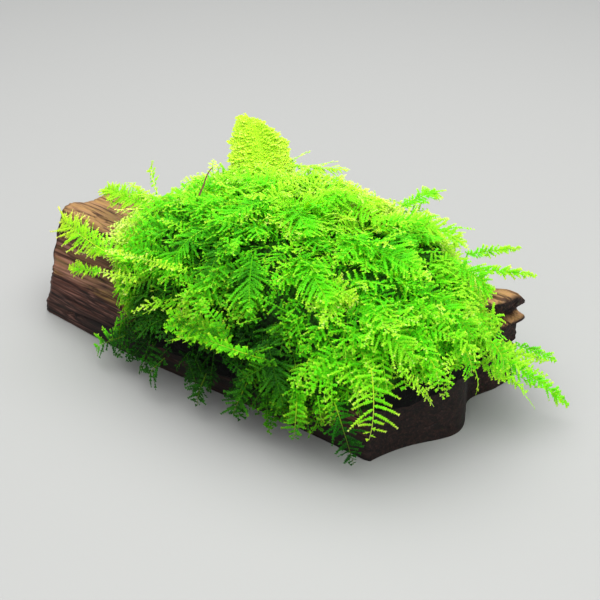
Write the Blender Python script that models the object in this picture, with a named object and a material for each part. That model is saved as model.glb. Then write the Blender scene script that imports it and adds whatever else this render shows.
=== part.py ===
"""Willow moss on a small block of driftwood, at its real size.

The block lies along X on its flat underside. The moss is a cushion of packed shoots that
sits over the block like a saddle, with longer fern-like fronds growing out of it.
Lengths in this file are in millimetres, measured from the middle of the block's base,
until mesh_object() writes them in metres from the part's own origin.
"""

import math

import bpy
import numpy as np

MM = 0.001
ORIGIN = np.array([9.4, -0.8, 0.0])  # middle of the finished part's footprint
WOOD_GAP = 0.45  # kept between the cushion and the block

# The block of driftwood: long axis on X, front face on -Y.
WOOD_LEFT = -51.3
WOOD_RIGHT = 47.6
END_BULGE = 7.0  # how far the middle of the right end stands out
WOOD_HALF_WIDTH = 23.0
WOOD_MID_HEIGHT = 9.0
RIDGE_HEIGHT = 22.5
LEDGE_HEIGHT = 12.5
WOOD_CORNER = 6.0  # superellipse power of the cross-section's upper half
WOOD_FOOT_CORNER = 14.0  # and of its lower half, which is squarer
SIDE_STEPS = {"bottom": 4, "back": 11, "top": 16, "front": 11}
WOOD_RINGS = 16
END_SHRINKS = (0.82, 0.95)  # rings that close each end, from its middle outwards

# The moss cushion: a star-shaped dome about its centre, with a different reach each way.
MAT_CENTRE = np.array([10.0, -1.0, 9.5])
MAT_REACH_LOW = np.array([43.0, 29.0, 6.5])  # to -X, -Y and down
MAT_REACH_HIGH = np.array([48.0, 29.0, 29.0])  # to +X, +Y and up
PLAN_POWER = 3.4  # squareness seen from above
DOME_POWER = 2.3  # and seen from the side
RIGHT_LIFT = 4.0  # how far the cushion is raised over the block's right end
# Two planes cut the dome, to bare the block's back right corner and its front face at the left:
# each one's way across, and its place from the cushion's centre.
CUTS = ((np.array([0.93, 1.0, 0.72]), 60.0), (np.array([-0.54, -0.84, -0.35]), 35.0))
CLUMPS = 44
CLUMP_HEIGHT = 3.4
CLUMP_WIDTH = 0.085  # in 1 - cos(angle), seen from the cushion's centre
MAT_BEARINGS = 44
MAT_ELEVATIONS = (78, 66, 55, 45, 36, 28, 21, 14, 7, 0, -7, -16, -45)

# Fronds: each is a flat blade with a saw edge, whose teeth are its side branches.
NAMED_TEETH = 7
TIER_TEETH = 6
FROND_THICKNESS = 1.2
STEM_SHARE = 0.3  # width left between two side branches
SWEEP = 0.45  # how far a tooth's tip leans forward, in steps between sections
FROND_GAP = 0.7  # kept clear between a frond and the cushion
GROUND_GAP = 1.6  # lowest point of a hanging frond

# The fronds that show in the photograph: root, tip, width and rise of the middle.
NAMED_FRONDS = {
    "frond_crest": ((-6.5, 9, 37.8), (-15, 13.5, 45.6), 15.5, 0),
    "frond_left_long": ((-20, -27, 26), (-42.5, -20, 24.8), 9, 2),
    "frond_left_low": ((-20, -29, 22), (-38, -23, 15), 6, 1),
    "frond_back_left": ((-23, -11, 30), (-45.2, -5, 26), 7, 2),
    "frond_left_thin": ((-26, -6, 31), (-32.5, -1, 35), 3.5, 1),
    "frond_bare_stem": ((-6, -12, 37.5), (-15, 1.5, 38.4), 2.4, 1),
    "frond_back_top": ((-3, 14, 37.5), (7.5, 20, 37.5), 8, 0),
    "frond_right_top": ((25, 16, 35), (26, 28, 34.5), 5, 2),
    "frond_right_back": ((42, 20, 28), (45, 32, 26), 4, 1),
    "frond_right_thin": ((46, 20, 25), (51, 29, 22.5), 4, 1),
    "frond_tail": ((58, 8, 14), (70, 14, 5.5), 8, 2),
    "frond_tail_upper": ((57, 18, 15), (62, 21.5, 9), 6, 1),
    "frond_end_a": ((59, 1, 22), (60, 3, 13), 7, 2),
    "frond_end_b": ((59, -8, 24), (60, -7, 16), 7, 1),
    "frond_end_c": ((57, -16, 24), (59, -16, 16.5), 6, 1),
    "frond_front_clear": ((50, -25, 24), (53, -29, 8), 12, 2),
    "frond_front_dark": ((43, -28, 13), (48, -27, 2.5), 8, 1),
    "frond_front_bright": ((22, -30, 19), (-5, -29, 14), 10, 2),
    "frond_front_low": ((13, -31, 11), (11, -32, 3), 6, 1),
    "frond_front_left": ((-12, -30, 10), (-21, -31, 4), 7, 1),
    "frond_hem_a": ((1, -31, 10), (-2, -33, 5), 7, 1),
    "frond_hem_b": ((24, -31, 13), (22, -33, 6), 7, 1),
    "frond_hem_c": ((37, -31, 14), (38, -33, 7), 6, 1),
}

# Rows of fronds round the cushion, seen from its centre: degrees of elevation at root and
# tip, turn of the tip, width, and the bearings where the photograph shows no long frond.
TIERS = {
    "crown": (80, 58, 14, 9, (20, 60, 164, 236, 308)),
    "upper": (52, 30, 8, 10, (15, 75, 105, 135, 166, 200, 238, 262, 286, 314, 344)),
    "flank": (27, 12, 8, 9, (331, 350, 8)),
    "lower": (22, 1, 6, 9, (56, 72, 88, 106, 124, 142, 302)),
}
TIP_STANDS_OUT = 2.5
FACE_HINT = np.array([1.2, -1.6, 0.6])  # turns every blade a little to the front

WOOD_COLOUR = (0.105, 0.045, 0.026)
MAT_COLOUR = (0.030, 0.180, 0.010)
FROND_COLOUR = (0.130, 0.560, 0.020)


def smooth(low, high, value):
    """0 below low, 1 above high, and a smooth step between; high may be the smaller."""
    t = np.clip((value - low) / (high - low), 0.0, 1.0)
    return t * t * (3.0 - 2.0 * t)


def material(name, colour, roughness):
    made = bpy.data.materials.new(name)
    made.use_nodes = True
    shader = made.node_tree.nodes["Principled BSDF"]
    shader.inputs["Base Color"].default_value = (*colour, 1.0)
    shader.inputs["Roughness"].default_value = roughness
    shader.inputs["Metallic"].default_value = 0.0
    return made


def mesh_object(name, rings, first_pole, last_pole, finish):
    """Skins closed rings of equal count, each end closed by a fan to its pole point."""
    count = len(rings[0])
    points = [first_pole, *[p for ring in rings for p in ring], last_pole]
    last = len(points) - 1
    faces = []
    for k in range(count):
        n = (k + 1) % count
        faces.append((0, 1 + n, 1 + k))
        for r in range(len(rings) - 1):
            a, b = 1 + r * count, 1 + (r + 1) * count
            faces.append((a + k, a + n, b + n, b + k))
        a = 1 + (len(rings) - 1) * count
        faces.append((last, a + k, a + n))
    mesh = bpy.data.meshes.new(name)
    mesh.from_pydata([tuple((p - ORIGIN) * MM) for p in points], [], faces)
    mesh.materials.append(finish)
    made = bpy.data.objects.new(name, mesh)
    bpy.context.scene.collection.objects.link(made)
    return made


# Driftwood


def section_outline():
    """Points round a unit square from its front bottom corner, with rounded corners."""
    sides = []
    corners = {"bottom": ((-1, -1), (1, -1)), "back": ((1, -1), (1, 1)),
               "top": ((1, 1), (-1, 1)), "front": ((-1, 1), (-1, -1))}
    for side, (start, end) in corners.items():
        steps = np.arange(SIDE_STEPS[side]) / SIDE_STEPS[side]
        sides.append(np.outer(1 - steps, start) + np.outer(steps, end))
    square = np.concatenate(sides)
    corner = np.where(square[:, 1:] > 0, WOOD_CORNER, WOOD_FOOT_CORNER)
    return square / (np.abs(square) ** corner).sum(axis=1, keepdims=True) ** (1 / corner)


def wood_top(x, y):
    """Height of the block's upper face: a front ledge at the left, a ridge, a worn back."""
    ridge = RIDGE_HEIGHT + 1.0 * np.sin(x / 19.0) + 0.7 * np.sin(y / 3.1 + x / 60.0)
    ledge = (1 - smooth(-20.5, -13.0, y)) * (1 - smooth(-22.0, 2.0, x))
    worn = smooth(0.0, 21.0, y) * (3.0 + 6.0 * smooth(10.0, -35.0, x))
    return ridge - (ridge - LEDGE_HEIGHT) * ledge - worn


def left_end(y, z):
    """X of the left end: it slants back to the front ledge, and the back corner is worn off."""
    ledge = 6.0 * (1.0 - smooth(-23.5, -9.0, y)) * (0.45 + 0.55 * smooth(0.0, 11.0, z))
    upper = 1.0 - 0.5 * smooth(11.0, 14.0, z)
    return WOOD_LEFT + ledge * upper + 7.0 * smooth(4.0, 21.0, y) + 0.5 * np.sin(z * 1.3)


def right_end(y, z):
    """X of the right end: a plain face that bulges, and two ledges at its back edge."""
    bulge = END_BULGE * np.exp(-(((y + 2.0) / 9.0) ** 2))
    split = smooth(8.0, 18.0, y)
    groove = smooth(8.5, 10.0, z) * (1 - smooth(15.0, 16.5, z)) + 0.7 * (1 - smooth(4.5, 6.0, z))
    return WOOD_RIGHT + bulge + split * (5.0 - 3.4 * groove) + 0.3 * np.sin(y / 3.0)


def wood_ring(along, shrink):
    """One ring of the block: along runs 0 to 1 from left to right, shrink closes the ends."""
    outline = section_outline() * shrink
    y_unit, z_unit = outline[:, 0], outline[:, 1]
    x_about = WOOD_LEFT + (WOOD_RIGHT - WOOD_LEFT) * along
    lean = 1.2 * math.sin(x_about / 23.0)
    y = WOOD_HALF_WIDTH * y_unit * (1.0 - 0.05 * smooth(-20.0, -49.0, x_about)) + lean * y_unit * y_unit
    top = wood_top(x_about, y)
    # The lower corners are pressed past the ground and cut off there, so the base is flat.
    z = np.where(z_unit > 0, WOOD_MID_HEIGHT + (top - WOOD_MID_HEIGHT) * z_unit,
                 WOOD_MID_HEIGHT * (1.0 + 1.12 * z_unit))
    z = np.maximum(z, 0.0)
    x = left_end(y, z) * (1 - along) + right_end(y, z) * along
    return np.column_stack([x, y, z])


def wood_rings():
    left = [wood_ring(0.0, k) for k in END_SHRINKS]
    body = [wood_ring(a, 1.0) for a in np.linspace(0.012, 0.988, WOOD_RINGS)]
    right = [wood_ring(1.0, k) for k in reversed(END_SHRINKS)]
    return left + body + right


def make_driftwood(finish):
    rings = wood_rings()
    left_pole, right_pole = wood_ring(0.0, 0.0)[0], wood_ring(1.0, 0.0)[0]
    return mesh_object("driftwood", rings, left_pole, right_pole, finish)


# Moss cushion


def clump_directions():
    """Unit vectors spread evenly over the upper dome by the golden angle, each a clump."""
    index = np.arange(CLUMPS) + 0.5
    height = 1.0 - 1.1 * index / CLUMPS
    bearing = index * math.pi * (3.0 - math.sqrt(5.0))
    across = np.sqrt(1.0 - height**2)
    return np.column_stack([across * np.cos(bearing), across * np.sin(bearing), height])


def envelope_radius(direction):
    """Distance from the cushion's centre to the cut superellipsoid that holds its clumps."""
    share = np.abs(direction) / np.where(direction > 0, MAT_REACH_HIGH, MAT_REACH_LOW)
    plan = (share[..., 0] ** PLAN_POWER + share[..., 1] ** PLAN_POWER) ** (1 / PLAN_POWER)
    radius = (plan**DOME_POWER + share[..., 2] ** DOME_POWER) ** (-1 / DOME_POWER)
    for way, reach in CUTS:
        radius = np.minimum(radius, reach / np.maximum(direction @ way, 0.1))
    return radius


def mat_radius(direction):
    """Distance from the cushion's centre to its surface: the envelope less the creases."""
    envelope = envelope_radius(direction)
    stretched = direction * envelope[..., None] / MAT_REACH_HIGH
    stretched = stretched / np.linalg.norm(stretched, axis=-1, keepdims=True)
    away = 1.0 - stretched @ clump_directions().T
    clump = np.clip(1.0 - away / CLUMP_WIDTH, 0.0, 1.0).max(axis=-1)
    return envelope - CLUMP_HEIGHT * (1.0 - np.sqrt(clump))


def raised(points, sign=1.0):
    """Points moved up as the cushion rises towards its right end."""
    lift = RIGHT_LIFT * smooth(22.0, 50.0, points[..., 0])
    return points + np.multiply.outer(sign * lift, (0.0, 0.0, 1.0))


def on_mat(direction):
    """The point of the cushion's surface in that direction from its centre."""
    return raised(MAT_CENTRE + direction * mat_radius(direction)[..., None])


def clear_of_mat(points, gap):
    """Moves points that are nearer than gap to the cushion's envelope out to that gap."""
    level = raised(points, -1.0) - MAT_CENTRE
    distance = np.linalg.norm(level, axis=-1)
    direction = level / distance[..., None]
    short = np.maximum(envelope_radius(direction) + gap - distance, 0.0)
    return points + direction * short[..., None]


def direction_of(bearing, elevation):
    """Unit vector from angles in degrees: bearing from +X towards +Y, elevation upwards."""
    b, e = np.radians(bearing), np.radians(elevation)
    return np.stack([np.cos(e) * np.cos(b), np.cos(e) * np.sin(b), np.sin(e + 0 * b)], axis=-1)


def grown(source, distance):
    """A hidden copy of a solid, pushed out along its vertex normals, to cut others with."""
    mesh = source.data.copy()
    normals = np.array([v.normal for v in mesh.vertices])
    points = np.array([v.co for v in mesh.vertices]) + normals * distance * MM
    mesh.vertices.foreach_set("co", points.astype(np.float32).ravel())
    cutter = bpy.data.objects.new(source.name + "_room", mesh)
    bpy.context.scene.collection.objects.link(cutter)
    cutter.hide_render = True
    cutter.display_type = "WIRE"
    return cutter


def make_mat(wood, finish):
    bearings = np.arange(MAT_BEARINGS) * 360.0 / MAT_BEARINGS
    rings = [on_mat(direction_of(bearings, e)) for e in reversed(MAT_ELEVATIONS)]
    poles = [on_mat(np.array([0.0, 0.0, z])) for z in (-1.0, 1.0)]
    mat = mesh_object("moss_mat", rings, poles[0], poles[1], finish)
    room = mat.modifiers.new("room for the wood", "BOOLEAN")
    room.operation = "DIFFERENCE"
    room.solver = "EXACT"
    room.object = grown(wood, WOOD_GAP)
    return mat


# Fronds


def unit(vectors):
    return vectors / np.linalg.norm(vectors, axis=-1, keepdims=True)


def frond_spine(root, tip, rise, count):
    """Points from root to tip along an arc that rises in the middle, clear of the cushion."""
    t = np.linspace(0.0, 1.0, count)[:, None]
    arch = rise * unit((root + tip) / 2 - MAT_CENTRE)
    spine = root * (1 - t) + tip * t + 4.0 * t * (1 - t) * arch
    return clear_of_mat(spine, FROND_GAP + FROND_THICKNESS / 2)


def blade_profile(t):
    """Share of the full width at t, 0 at the root to 1 at the tip: broad low, pointed high."""
    return np.minimum(0.5 + 1.6 * t, 1.12 - t**2.2)


def make_frond(name, root, tip, width, rise, teeth, finish):
    """A blade of four-cornered sections; every second one is wide, as a pair of branches."""
    count = 2 * teeth + 1
    spine = frond_spine(np.array(root, float), np.array(tip, float), rise, count)
    along = unit(np.gradient(spine, axis=0))
    outward = unit(spine - MAT_CENTRE + np.multiply(FACE_HINT, width))
    side = unit(np.cross(outward, along))
    face = np.cross(along, side)
    t = np.linspace(0.0, 1.0, count)
    tooth = np.arange(count) % 2
    half = width / 2 * blade_profile(t) * (STEM_SHARE + (1 - STEM_SHARE) * tooth)
    lean = SWEEP * tooth * np.linalg.norm(spine[-1] - spine[0]) / count
    thick = FROND_THICKNESS / 2 * (1.1 - 0.6 * t)
    forward = spine + along * lean[:, None]
    corners = [forward + side * half[:, None], spine + face * thick[:, None],
               forward - side * half[:, None], spine - face * thick[:, None]]
    corners = [clear_of_mat(c, FROND_GAP) for c in corners]
    rings = np.stack(corners, axis=1)
    rings[..., 2] = np.maximum(rings[..., 2], GROUND_GAP)
    poles = [spine[0] - along[0], spine[-1] + along[-1]]
    return mesh_object(name, list(rings), poles[0], poles[1], finish)


def make_named_fronds(finish):
    for name, (root, tip, width, rise) in NAMED_FRONDS.items():
        make_frond(name, root, tip, width, rise, NAMED_TEETH, finish)


def make_tier(tier, finish):
    """One row of fronds that radiate from the crown and hang over the cushion's side."""
    root_elevation, tip_elevation, turn, width, bearings = TIERS[tier]
    for number, bearing in enumerate(bearings, start=1):
        root = direction_of(bearing, root_elevation)
        tip = direction_of(bearing + turn, tip_elevation)
        root = raised(MAT_CENTRE + root * (envelope_radius(root) + FROND_GAP))
        tip = raised(MAT_CENTRE + tip * (envelope_radius(tip) + TIP_STANDS_OUT))
        make_frond(f"frond_{tier}_{number:02d}", root, tip, width, 1.0, TIER_TEETH, finish)


def main():
    for old in list(bpy.data.objects):
        bpy.data.objects.remove(old, do_unlink=True)
    wood_finish = material("driftwood", WOOD_COLOUR, 0.75)
    mat_finish = material("moss_mat", MAT_COLOUR, 0.9)
    wood = make_driftwood(wood_finish)
    make_mat(wood, mat_finish)
    frond_finish = material("frond", FROND_COLOUR, 0.6)
    make_named_fronds(frond_finish)
    for tier in TIERS:
        make_tier(tier, frond_finish)


main()
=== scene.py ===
# %% [markdown]
# # Willow moss on driftwood
#
# A small block of dark driftwood with a cushion of willow moss grown over it.
# The real moss has no roots: its shoots tangle into a cushion, and new shoots grow out
# over the old ones like roof tiles, each a flat green feather. So the scene is built in
# that order: the block, the dark tangle that hides it, and then hundreds of feathers.
#
# Everything is worked out in millimetres from the middle of the block's base, as a maker
# would measure it, and only the helper that fills a mesh turns it into metres.

# %% Load the frame
import math

import bmesh
import bpy
import numpy as np
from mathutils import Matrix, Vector


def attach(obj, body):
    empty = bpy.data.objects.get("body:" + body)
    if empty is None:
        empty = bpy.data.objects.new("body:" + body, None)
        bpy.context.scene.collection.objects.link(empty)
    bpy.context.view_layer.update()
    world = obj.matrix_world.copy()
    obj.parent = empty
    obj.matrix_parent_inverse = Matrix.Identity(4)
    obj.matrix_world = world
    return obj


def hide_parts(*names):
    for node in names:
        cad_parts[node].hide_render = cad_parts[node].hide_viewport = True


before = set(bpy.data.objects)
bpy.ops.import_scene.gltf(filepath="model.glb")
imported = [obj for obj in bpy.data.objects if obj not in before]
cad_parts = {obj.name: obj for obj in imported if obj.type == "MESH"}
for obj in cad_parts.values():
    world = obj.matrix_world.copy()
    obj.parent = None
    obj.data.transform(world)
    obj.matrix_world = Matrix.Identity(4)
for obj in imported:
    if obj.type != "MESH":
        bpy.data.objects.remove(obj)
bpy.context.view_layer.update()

MM = 0.001
ORIGIN = np.array([9.4, -0.8, 0.0])  # the part's origin, from the middle of the block's base
chance = np.random.default_rng(52)
print("CAD nodes:", len(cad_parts))

# %% [markdown]
# ## Small tools
#
# A few helpers serve every piece. One is a smooth random field, made of numbers on a
# lattice that are blended in between: wood fibres and clumps of moss are both this field,
# stretched in different ways. Another counts out items that belong to owners, such as the
# side branches of each feather.

# %% Noise and counting
LATTICE_SIZE = 8192  # a power of two
LATTICE = np.random.default_rng(7).random(LATTICE_SIZE)
SCATTER = (73856093, 19349663, 83492791)  # large primes, so that near cells get far numbers


def smooth(low, high, value):
    """0 below low, 1 above high, and 3t^2 - 2t^3 between; high may be the smaller."""
    t = np.clip((value - low) / (high - low), 0.0, 1.0)
    return t * t * (3.0 - 2.0 * t)


def unit(vectors):
    """Each vector divided by its length."""
    return vectors / np.maximum(np.linalg.norm(vectors, axis=-1, keepdims=True), 1e-9)


def field(points):
    """Smooth noise from 0 to 1: the eight lattice numbers round a point, blended by 3t^2 - 2t^3."""
    cell = np.floor(points).astype(np.int64)
    t = points - cell
    t = t * t * (3.0 - 2.0 * t)
    total = np.zeros(points.shape[:-1])
    for corner in np.ndindex(2, 2, 2):
        at = cell + corner
        key = (at[..., 0] * SCATTER[0]) ^ (at[..., 1] * SCATTER[1]) ^ (at[..., 2] * SCATTER[2])
        share = np.where(np.array(corner) == 1, t, 1.0 - t).prod(axis=-1)
        total += LATTICE[key & (LATTICE_SIZE - 1)] * share
    return total


def spread(counts):
    """For owners that have so many items each: every item's owner and its number there."""
    owner = np.repeat(np.arange(len(counts)), counts)
    first = np.repeat(np.cumsum(counts) - counts, counts)
    return owner, np.arange(len(owner)) - first


print("lattice numbers:", len(LATTICE))

# %% [markdown]
# A mesh could be built point by point with bmesh, but the moss has hundreds of thousands of
# them. So each piece is worked out as whole arrays, and one helper hands these to Blender
# in a few calls. Three numbers for each point go along as a colour attribute called growth,
# and every finish reads from it how old, worn or shaded the piece is there.

# %% Filling a mesh
def note_growth(mesh, growth):
    """Keeps three numbers from 0 to 1 for each point, where the finishes read them."""
    layer = mesh.attributes.new("growth", "FLOAT_COLOR", "POINT")
    colour = np.column_stack([growth, np.ones(len(growth))])
    layer.data.foreach_set("color", colour.astype(np.float32).ravel())


def make_piece(name, points, faces, finish, growth=None, shade_smooth=False):
    """A mesh from an array of points in mm and an array of faces with equal corners."""
    mesh = bpy.data.meshes.new(name)
    mesh.vertices.add(len(points))
    mesh.vertices.foreach_set("co", ((points - ORIGIN) * MM).astype(np.float32).ravel())
    mesh.loops.add(faces.size)
    mesh.loops.foreach_set("vertex_index", faces.astype(np.int32).ravel())
    mesh.polygons.add(len(faces))
    mesh.polygons.foreach_set("loop_start", np.arange(0, faces.size, faces.shape[1], dtype=np.int32))
    if growth is not None:
        note_growth(mesh, growth)
    mesh.update(calc_edges=True)
    mesh.polygons.foreach_set("use_smooth", np.full(len(faces), shade_smooth))
    mesh.materials.append(finish)
    piece = bpy.data.objects.new(name, mesh)
    bpy.context.scene.collection.objects.link(piece)
    print(f"{name}: {len(points)} points, {len(faces) * (faces.shape[1] - 2)} triangles")
    return piece


# %% [markdown]
# ## Finishes
#
# A finish is a Principled shader whose colour comes from a small tree of nodes. Such a tree
# is long to write out node by node, so five helpers keep it readable: a new finish, a node
# with its settings, a colour ramp, noise stretched along an axis, and a mix of two colours.

# %% A finish and its nodes
def new_finish(name, roughness, specular):
    """A Principled material; returns it with its node tree and its shader."""
    finish = bpy.data.materials.new(name)
    finish.use_nodes = True
    shader = finish.node_tree.nodes["Principled BSDF"]
    shader.inputs["Roughness"].default_value = roughness
    shader.inputs["Specular IOR Level"].default_value = specular
    return finish, finish.node_tree, shader


def node(tree, kind, **settings):
    """A node of that kind; settings that are its sockets are set there, others on the node."""
    made = tree.nodes.new(kind)
    for key, value in settings.items():
        if key in made.inputs:
            made.inputs[key].default_value = value
        else:
            setattr(made, key, value)
    return made


# %% Ramps, noise and mixes
def ramp(tree, source, stops):
    """A colour ramp on source, with stops as (place, (red, green, blue))."""
    made = tree.nodes.new("ShaderNodeValToRGB")
    elements = made.color_ramp.elements
    while len(elements) < len(stops):
        elements.new(0.5)
    for element, (place, colour) in zip(elements, stops):
        element.position = place
        element.color = (*colour, 1.0)
    tree.links.new(source, made.inputs["Fac"])
    return made.outputs["Color"]


def stretched_noise(tree, coordinates, stretch, scale, detail):
    """Noise on object coordinates that are first stretched along each axis."""
    mapping = node(tree, "ShaderNodeMapping")
    mapping.inputs["Scale"].default_value = stretch
    tree.links.new(coordinates, mapping.inputs["Vector"])
    noise = node(tree, "ShaderNodeTexNoise", Scale=scale, Detail=detail, Roughness=0.6)
    tree.links.new(mapping.outputs["Vector"], noise.inputs["Vector"])
    return noise.outputs["Fac"]


def mixed(tree, share, first, second, blend="MIX"):
    """Two colours mixed; share is a socket or a number."""
    made = node(tree, "ShaderNodeMix", data_type="RGBA", blend_type=blend)
    for socket, value in ((made.inputs[0], share), (made.inputs[6], first), (made.inputs[7], second)):
        if isinstance(value, bpy.types.NodeSocket):
            tree.links.new(value, socket)
        else:
            socket.default_value = value
    return made.outputs[2]


# %% [markdown]
# Old driftwood, long under water, is a dark red-brown with fibres of lighter and darker brown along
# its length, orange where a fresh edge catches the light, and nearly black in
# its cracks. A picture wrapped round the block would stretch over the corners, so the
# fibres are noise in space, drawn out along the block. Growth tells where it is worn and
# lit, an orange that is partly wear and partly painted light on the upturned faces, and
# where shade is painted, nearly black on the right end face and along the foot.

# %% Driftwood finish
DARK_GRAIN = (0.016, 0.008, 0.007)
BROWN_GRAIN = (0.070, 0.026, 0.017)
RED_GRAIN = (0.175, 0.066, 0.044)
WORN_AND_LIT_EDGE = (0.680, 0.390, 0.125)
PALE_STREAK = (0.320, 0.150, 0.115)
# painted shade: the nearly black brown laid on the right end face and along the foot
PAINTED_SHADE_DARK = (0.006, 0.005, 0.0045)
# Cycles of noise per metre along X, Y and Z.
FIBRES = (30.0, 900.0, 900.0)
PATCHES = (25.0, 90.0, 90.0)
STREAKS = (45.0, 2600.0, 2600.0)
CRACKS = (55.0, 950.0, 1500.0)


def make_wood_finish():
    """Fibres: noise drawn out thirty times along the block, times soft patches and dark cracks;
    lighter where it is worn and lit, partly wear and partly painted light, and nearly black where
    shade is painted."""
    finish, tree, shader = new_finish("driftwood", 0.66, 0.22)
    place = node(tree, "ShaderNodeTexCoord").outputs["Object"]
    fibres = stretched_noise(tree, place, FIBRES, 1.0, 4.0)
    patches = stretched_noise(tree, place, PATCHES, 1.0, 3.0)
    grain = ramp(tree, fibres, [(0.30, DARK_GRAIN), (0.50, BROWN_GRAIN), (0.72, RED_GRAIN)])
    shade = ramp(tree, patches, [(0.25, (0.35, 0.33, 0.33)), (0.7, (1.0, 1.0, 1.0))])
    colour = mixed(tree, 1.0, grain, shade, "MULTIPLY")
    wear = node(tree, "ShaderNodeAttribute", attribute_name="growth")
    parts = node(tree, "ShaderNodeSeparateColor")
    tree.links.new(wear.outputs["Color"], parts.inputs["Color"])
    # worn and lit: orange, partly wear and partly painted light on the upturned faces that catch the
    # overhead light
    worn = mixed(tree, 0.5, grain, (*WORN_AND_LIT_EDGE, 1.0))
    colour = mixed(tree, parts.outputs["Red"], colour, worn)
    streaks = stretched_noise(tree, place, STREAKS, 1.0, 2.0)
    pale = ramp(tree, streaks, [(0.52, (0.0, 0.0, 0.0)), (0.66, (0.55, 0.55, 0.55))])
    colour = mixed(tree, pale, colour, (*PALE_STREAK, 1.0))
    cracks = stretched_noise(tree, place, CRACKS, 1.0, 4.0)
    dark = ramp(tree, cracks, [(0.40, (0.20, 0.15, 0.13)), (0.52, (1.0, 1.0, 1.0))])
    colour = mixed(tree, 1.0, colour, dark, "MULTIPLY")
    # painted shade: where growth's green says so, the colour goes nearly black
    painted_shade = mixed(tree, 0.85, colour, (*PAINTED_SHADE_DARK, 1.0))
    colour = mixed(tree, parts.outputs["Green"], colour, painted_shade)
    tree.links.new(colour, shader.inputs["Base Color"])
    bump = node(tree, "ShaderNodeBump", Strength=0.5, Distance=0.0003)
    tree.links.new(fibres, bump.inputs["Height"])
    tree.links.new(bump.outputs["Normal"], shader.inputs["Normal"])
    return finish


wood_finish = make_wood_finish()
print("finish of the block:", wood_finish.name)

# %% [markdown]
# Moss leaves are one cell thick, so they glow: old ones deep green, new ones nearly yellow.
# A material for every shade would mean hundreds of them, so one serves all the moss, and
# growth tells it, point by point, how young a leaf is, how much light comes to it, and
# whether its shoot is a warm or a cool green. The tangle underneath has a rough finish of
# its own, between nearly black and deep green.

# %% Moss finish
OLD_LEAF = (0.018, 0.210, 0.001)
GROWN_LEAF = (0.105, 0.820, 0.003)
YOUNG_LEAF = (0.440, 0.900, 0.020)
TIP_LEAF = (0.700, 0.930, 0.140)
COOL_TINT = (0.70, 0.92, 0.60)
PLAIN_TINT = (1.00, 1.00, 1.00)
WARM_TINT = (1.30, 1.00, 1.00)
DEPTH_LIGHT = ((0.0, 0.03), (0.3, 0.32), (0.6, 0.82), (1.0, 1.0))  # light, and how bright a leaf is


def make_moss_finish():
    """Colour by age, times the light, times the shoot's tint; growth holds these three."""
    finish, tree, shader = new_finish("moss leaf", 0.55, 0.10)
    shader.inputs["Subsurface Weight"].default_value = 0.45
    shader.inputs["Subsurface Radius"].default_value = (0.6, 1.0, 0.2)
    shader.inputs["Subsurface Scale"].default_value = 0.0015
    growth = node(tree, "ShaderNodeAttribute", attribute_name="growth")
    parts = node(tree, "ShaderNodeSeparateColor")
    tree.links.new(growth.outputs["Color"], parts.inputs["Color"])
    age, exposure, tint = parts.outputs["Red"], parts.outputs["Green"], parts.outputs["Blue"]
    leaf = ramp(tree, age, [(0.0, OLD_LEAF), (0.35, GROWN_LEAF), (0.75, YOUNG_LEAF), (1.0, TIP_LEAF)])
    depth = ramp(tree, exposure, [(place, (light, light, light)) for place, light in DEPTH_LIGHT])
    hue = ramp(tree, tint, [(0.0, COOL_TINT), (0.5, PLAIN_TINT), (1.0, WARM_TINT)])
    colour = mixed(tree, 1.0, leaf, depth, "MULTIPLY")
    colour = mixed(tree, 1.0, colour, hue, "MULTIPLY")
    tree.links.new(colour, shader.inputs["Base Color"])
    return finish


moss_finish = make_moss_finish()
print("finish of the leaves:", moss_finish.name)

# %% Bed finish
BED_DARK = (0.012, 0.050, 0.002)
BED_GREEN = (0.045, 0.290, 0.004)


def make_bed_finish():
    """Dark tangle: fine noise between nearly black and deep green, with a rough bump."""
    finish, tree, shader = new_finish("moss bed", 0.8, 0.15)
    place = node(tree, "ShaderNodeTexCoord").outputs["Object"]
    tangle = stretched_noise(tree, place, (1.0, 1.0, 1.0), 900.0, 5.0)
    colour = ramp(tree, tangle, [(0.42, BED_DARK), (0.60, BED_GREEN)])
    light = node(tree, "ShaderNodeAttribute", attribute_name="growth")
    colour = mixed(tree, 1.0, colour, light.outputs["Color"], "MULTIPLY")
    tree.links.new(colour, shader.inputs["Base Color"])
    bump = node(tree, "ShaderNodeBump", Strength=0.9, Distance=0.0006)
    tree.links.new(tangle, bump.inputs["Height"])
    tree.links.new(bump.outputs["Normal"], shader.inputs["Normal"])
    return finish


bed_finish = make_bed_finish()
print("finish of the tangle:", bed_finish.name)

# %% [markdown]
# ## The block of driftwood
#
# A sawn and weathered block could be a box with a sculpted surface. Here it is a stack of
# cross-sections from one end to the other, each a square with rounded corners whose top
# follows a height formula. That formula holds the big shapes of the real block: the low
# front ledge at its bare end, the ridge, and the worn back. The fine shapes come after, as
# a push along the surface's own normals: fibres, splits between them, and pits.

# %% Shape of the block
WOOD_LEFT = -51.3
WOOD_RIGHT = 47.6
END_BULGE = 7.0
WOOD_HALF_WIDTH = 23.0
WOOD_MID_HEIGHT = 9.0
RIDGE_HEIGHT = 22.5
LEDGE_HEIGHT = 12.5


def wood_top(x, y):
    """Height of the upper face: the ridge, less the front ledge at the left and the worn back."""
    ridge = RIDGE_HEIGHT + 1.0 * np.sin(x / 19.0) + 0.7 * np.sin(y / 3.1 + x / 60.0)
    ledge = (1 - smooth(-20.5, -13.0, y)) * (1 - smooth(-22.0, 2.0, x))
    worn = smooth(0.0, 21.0, y) * (3.0 + 6.0 * smooth(10.0, -35.0, x) - 2.6 * smooth(36.0, 45.0, x))
    return ridge - (ridge - LEDGE_HEIGHT) * ledge - worn


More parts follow.
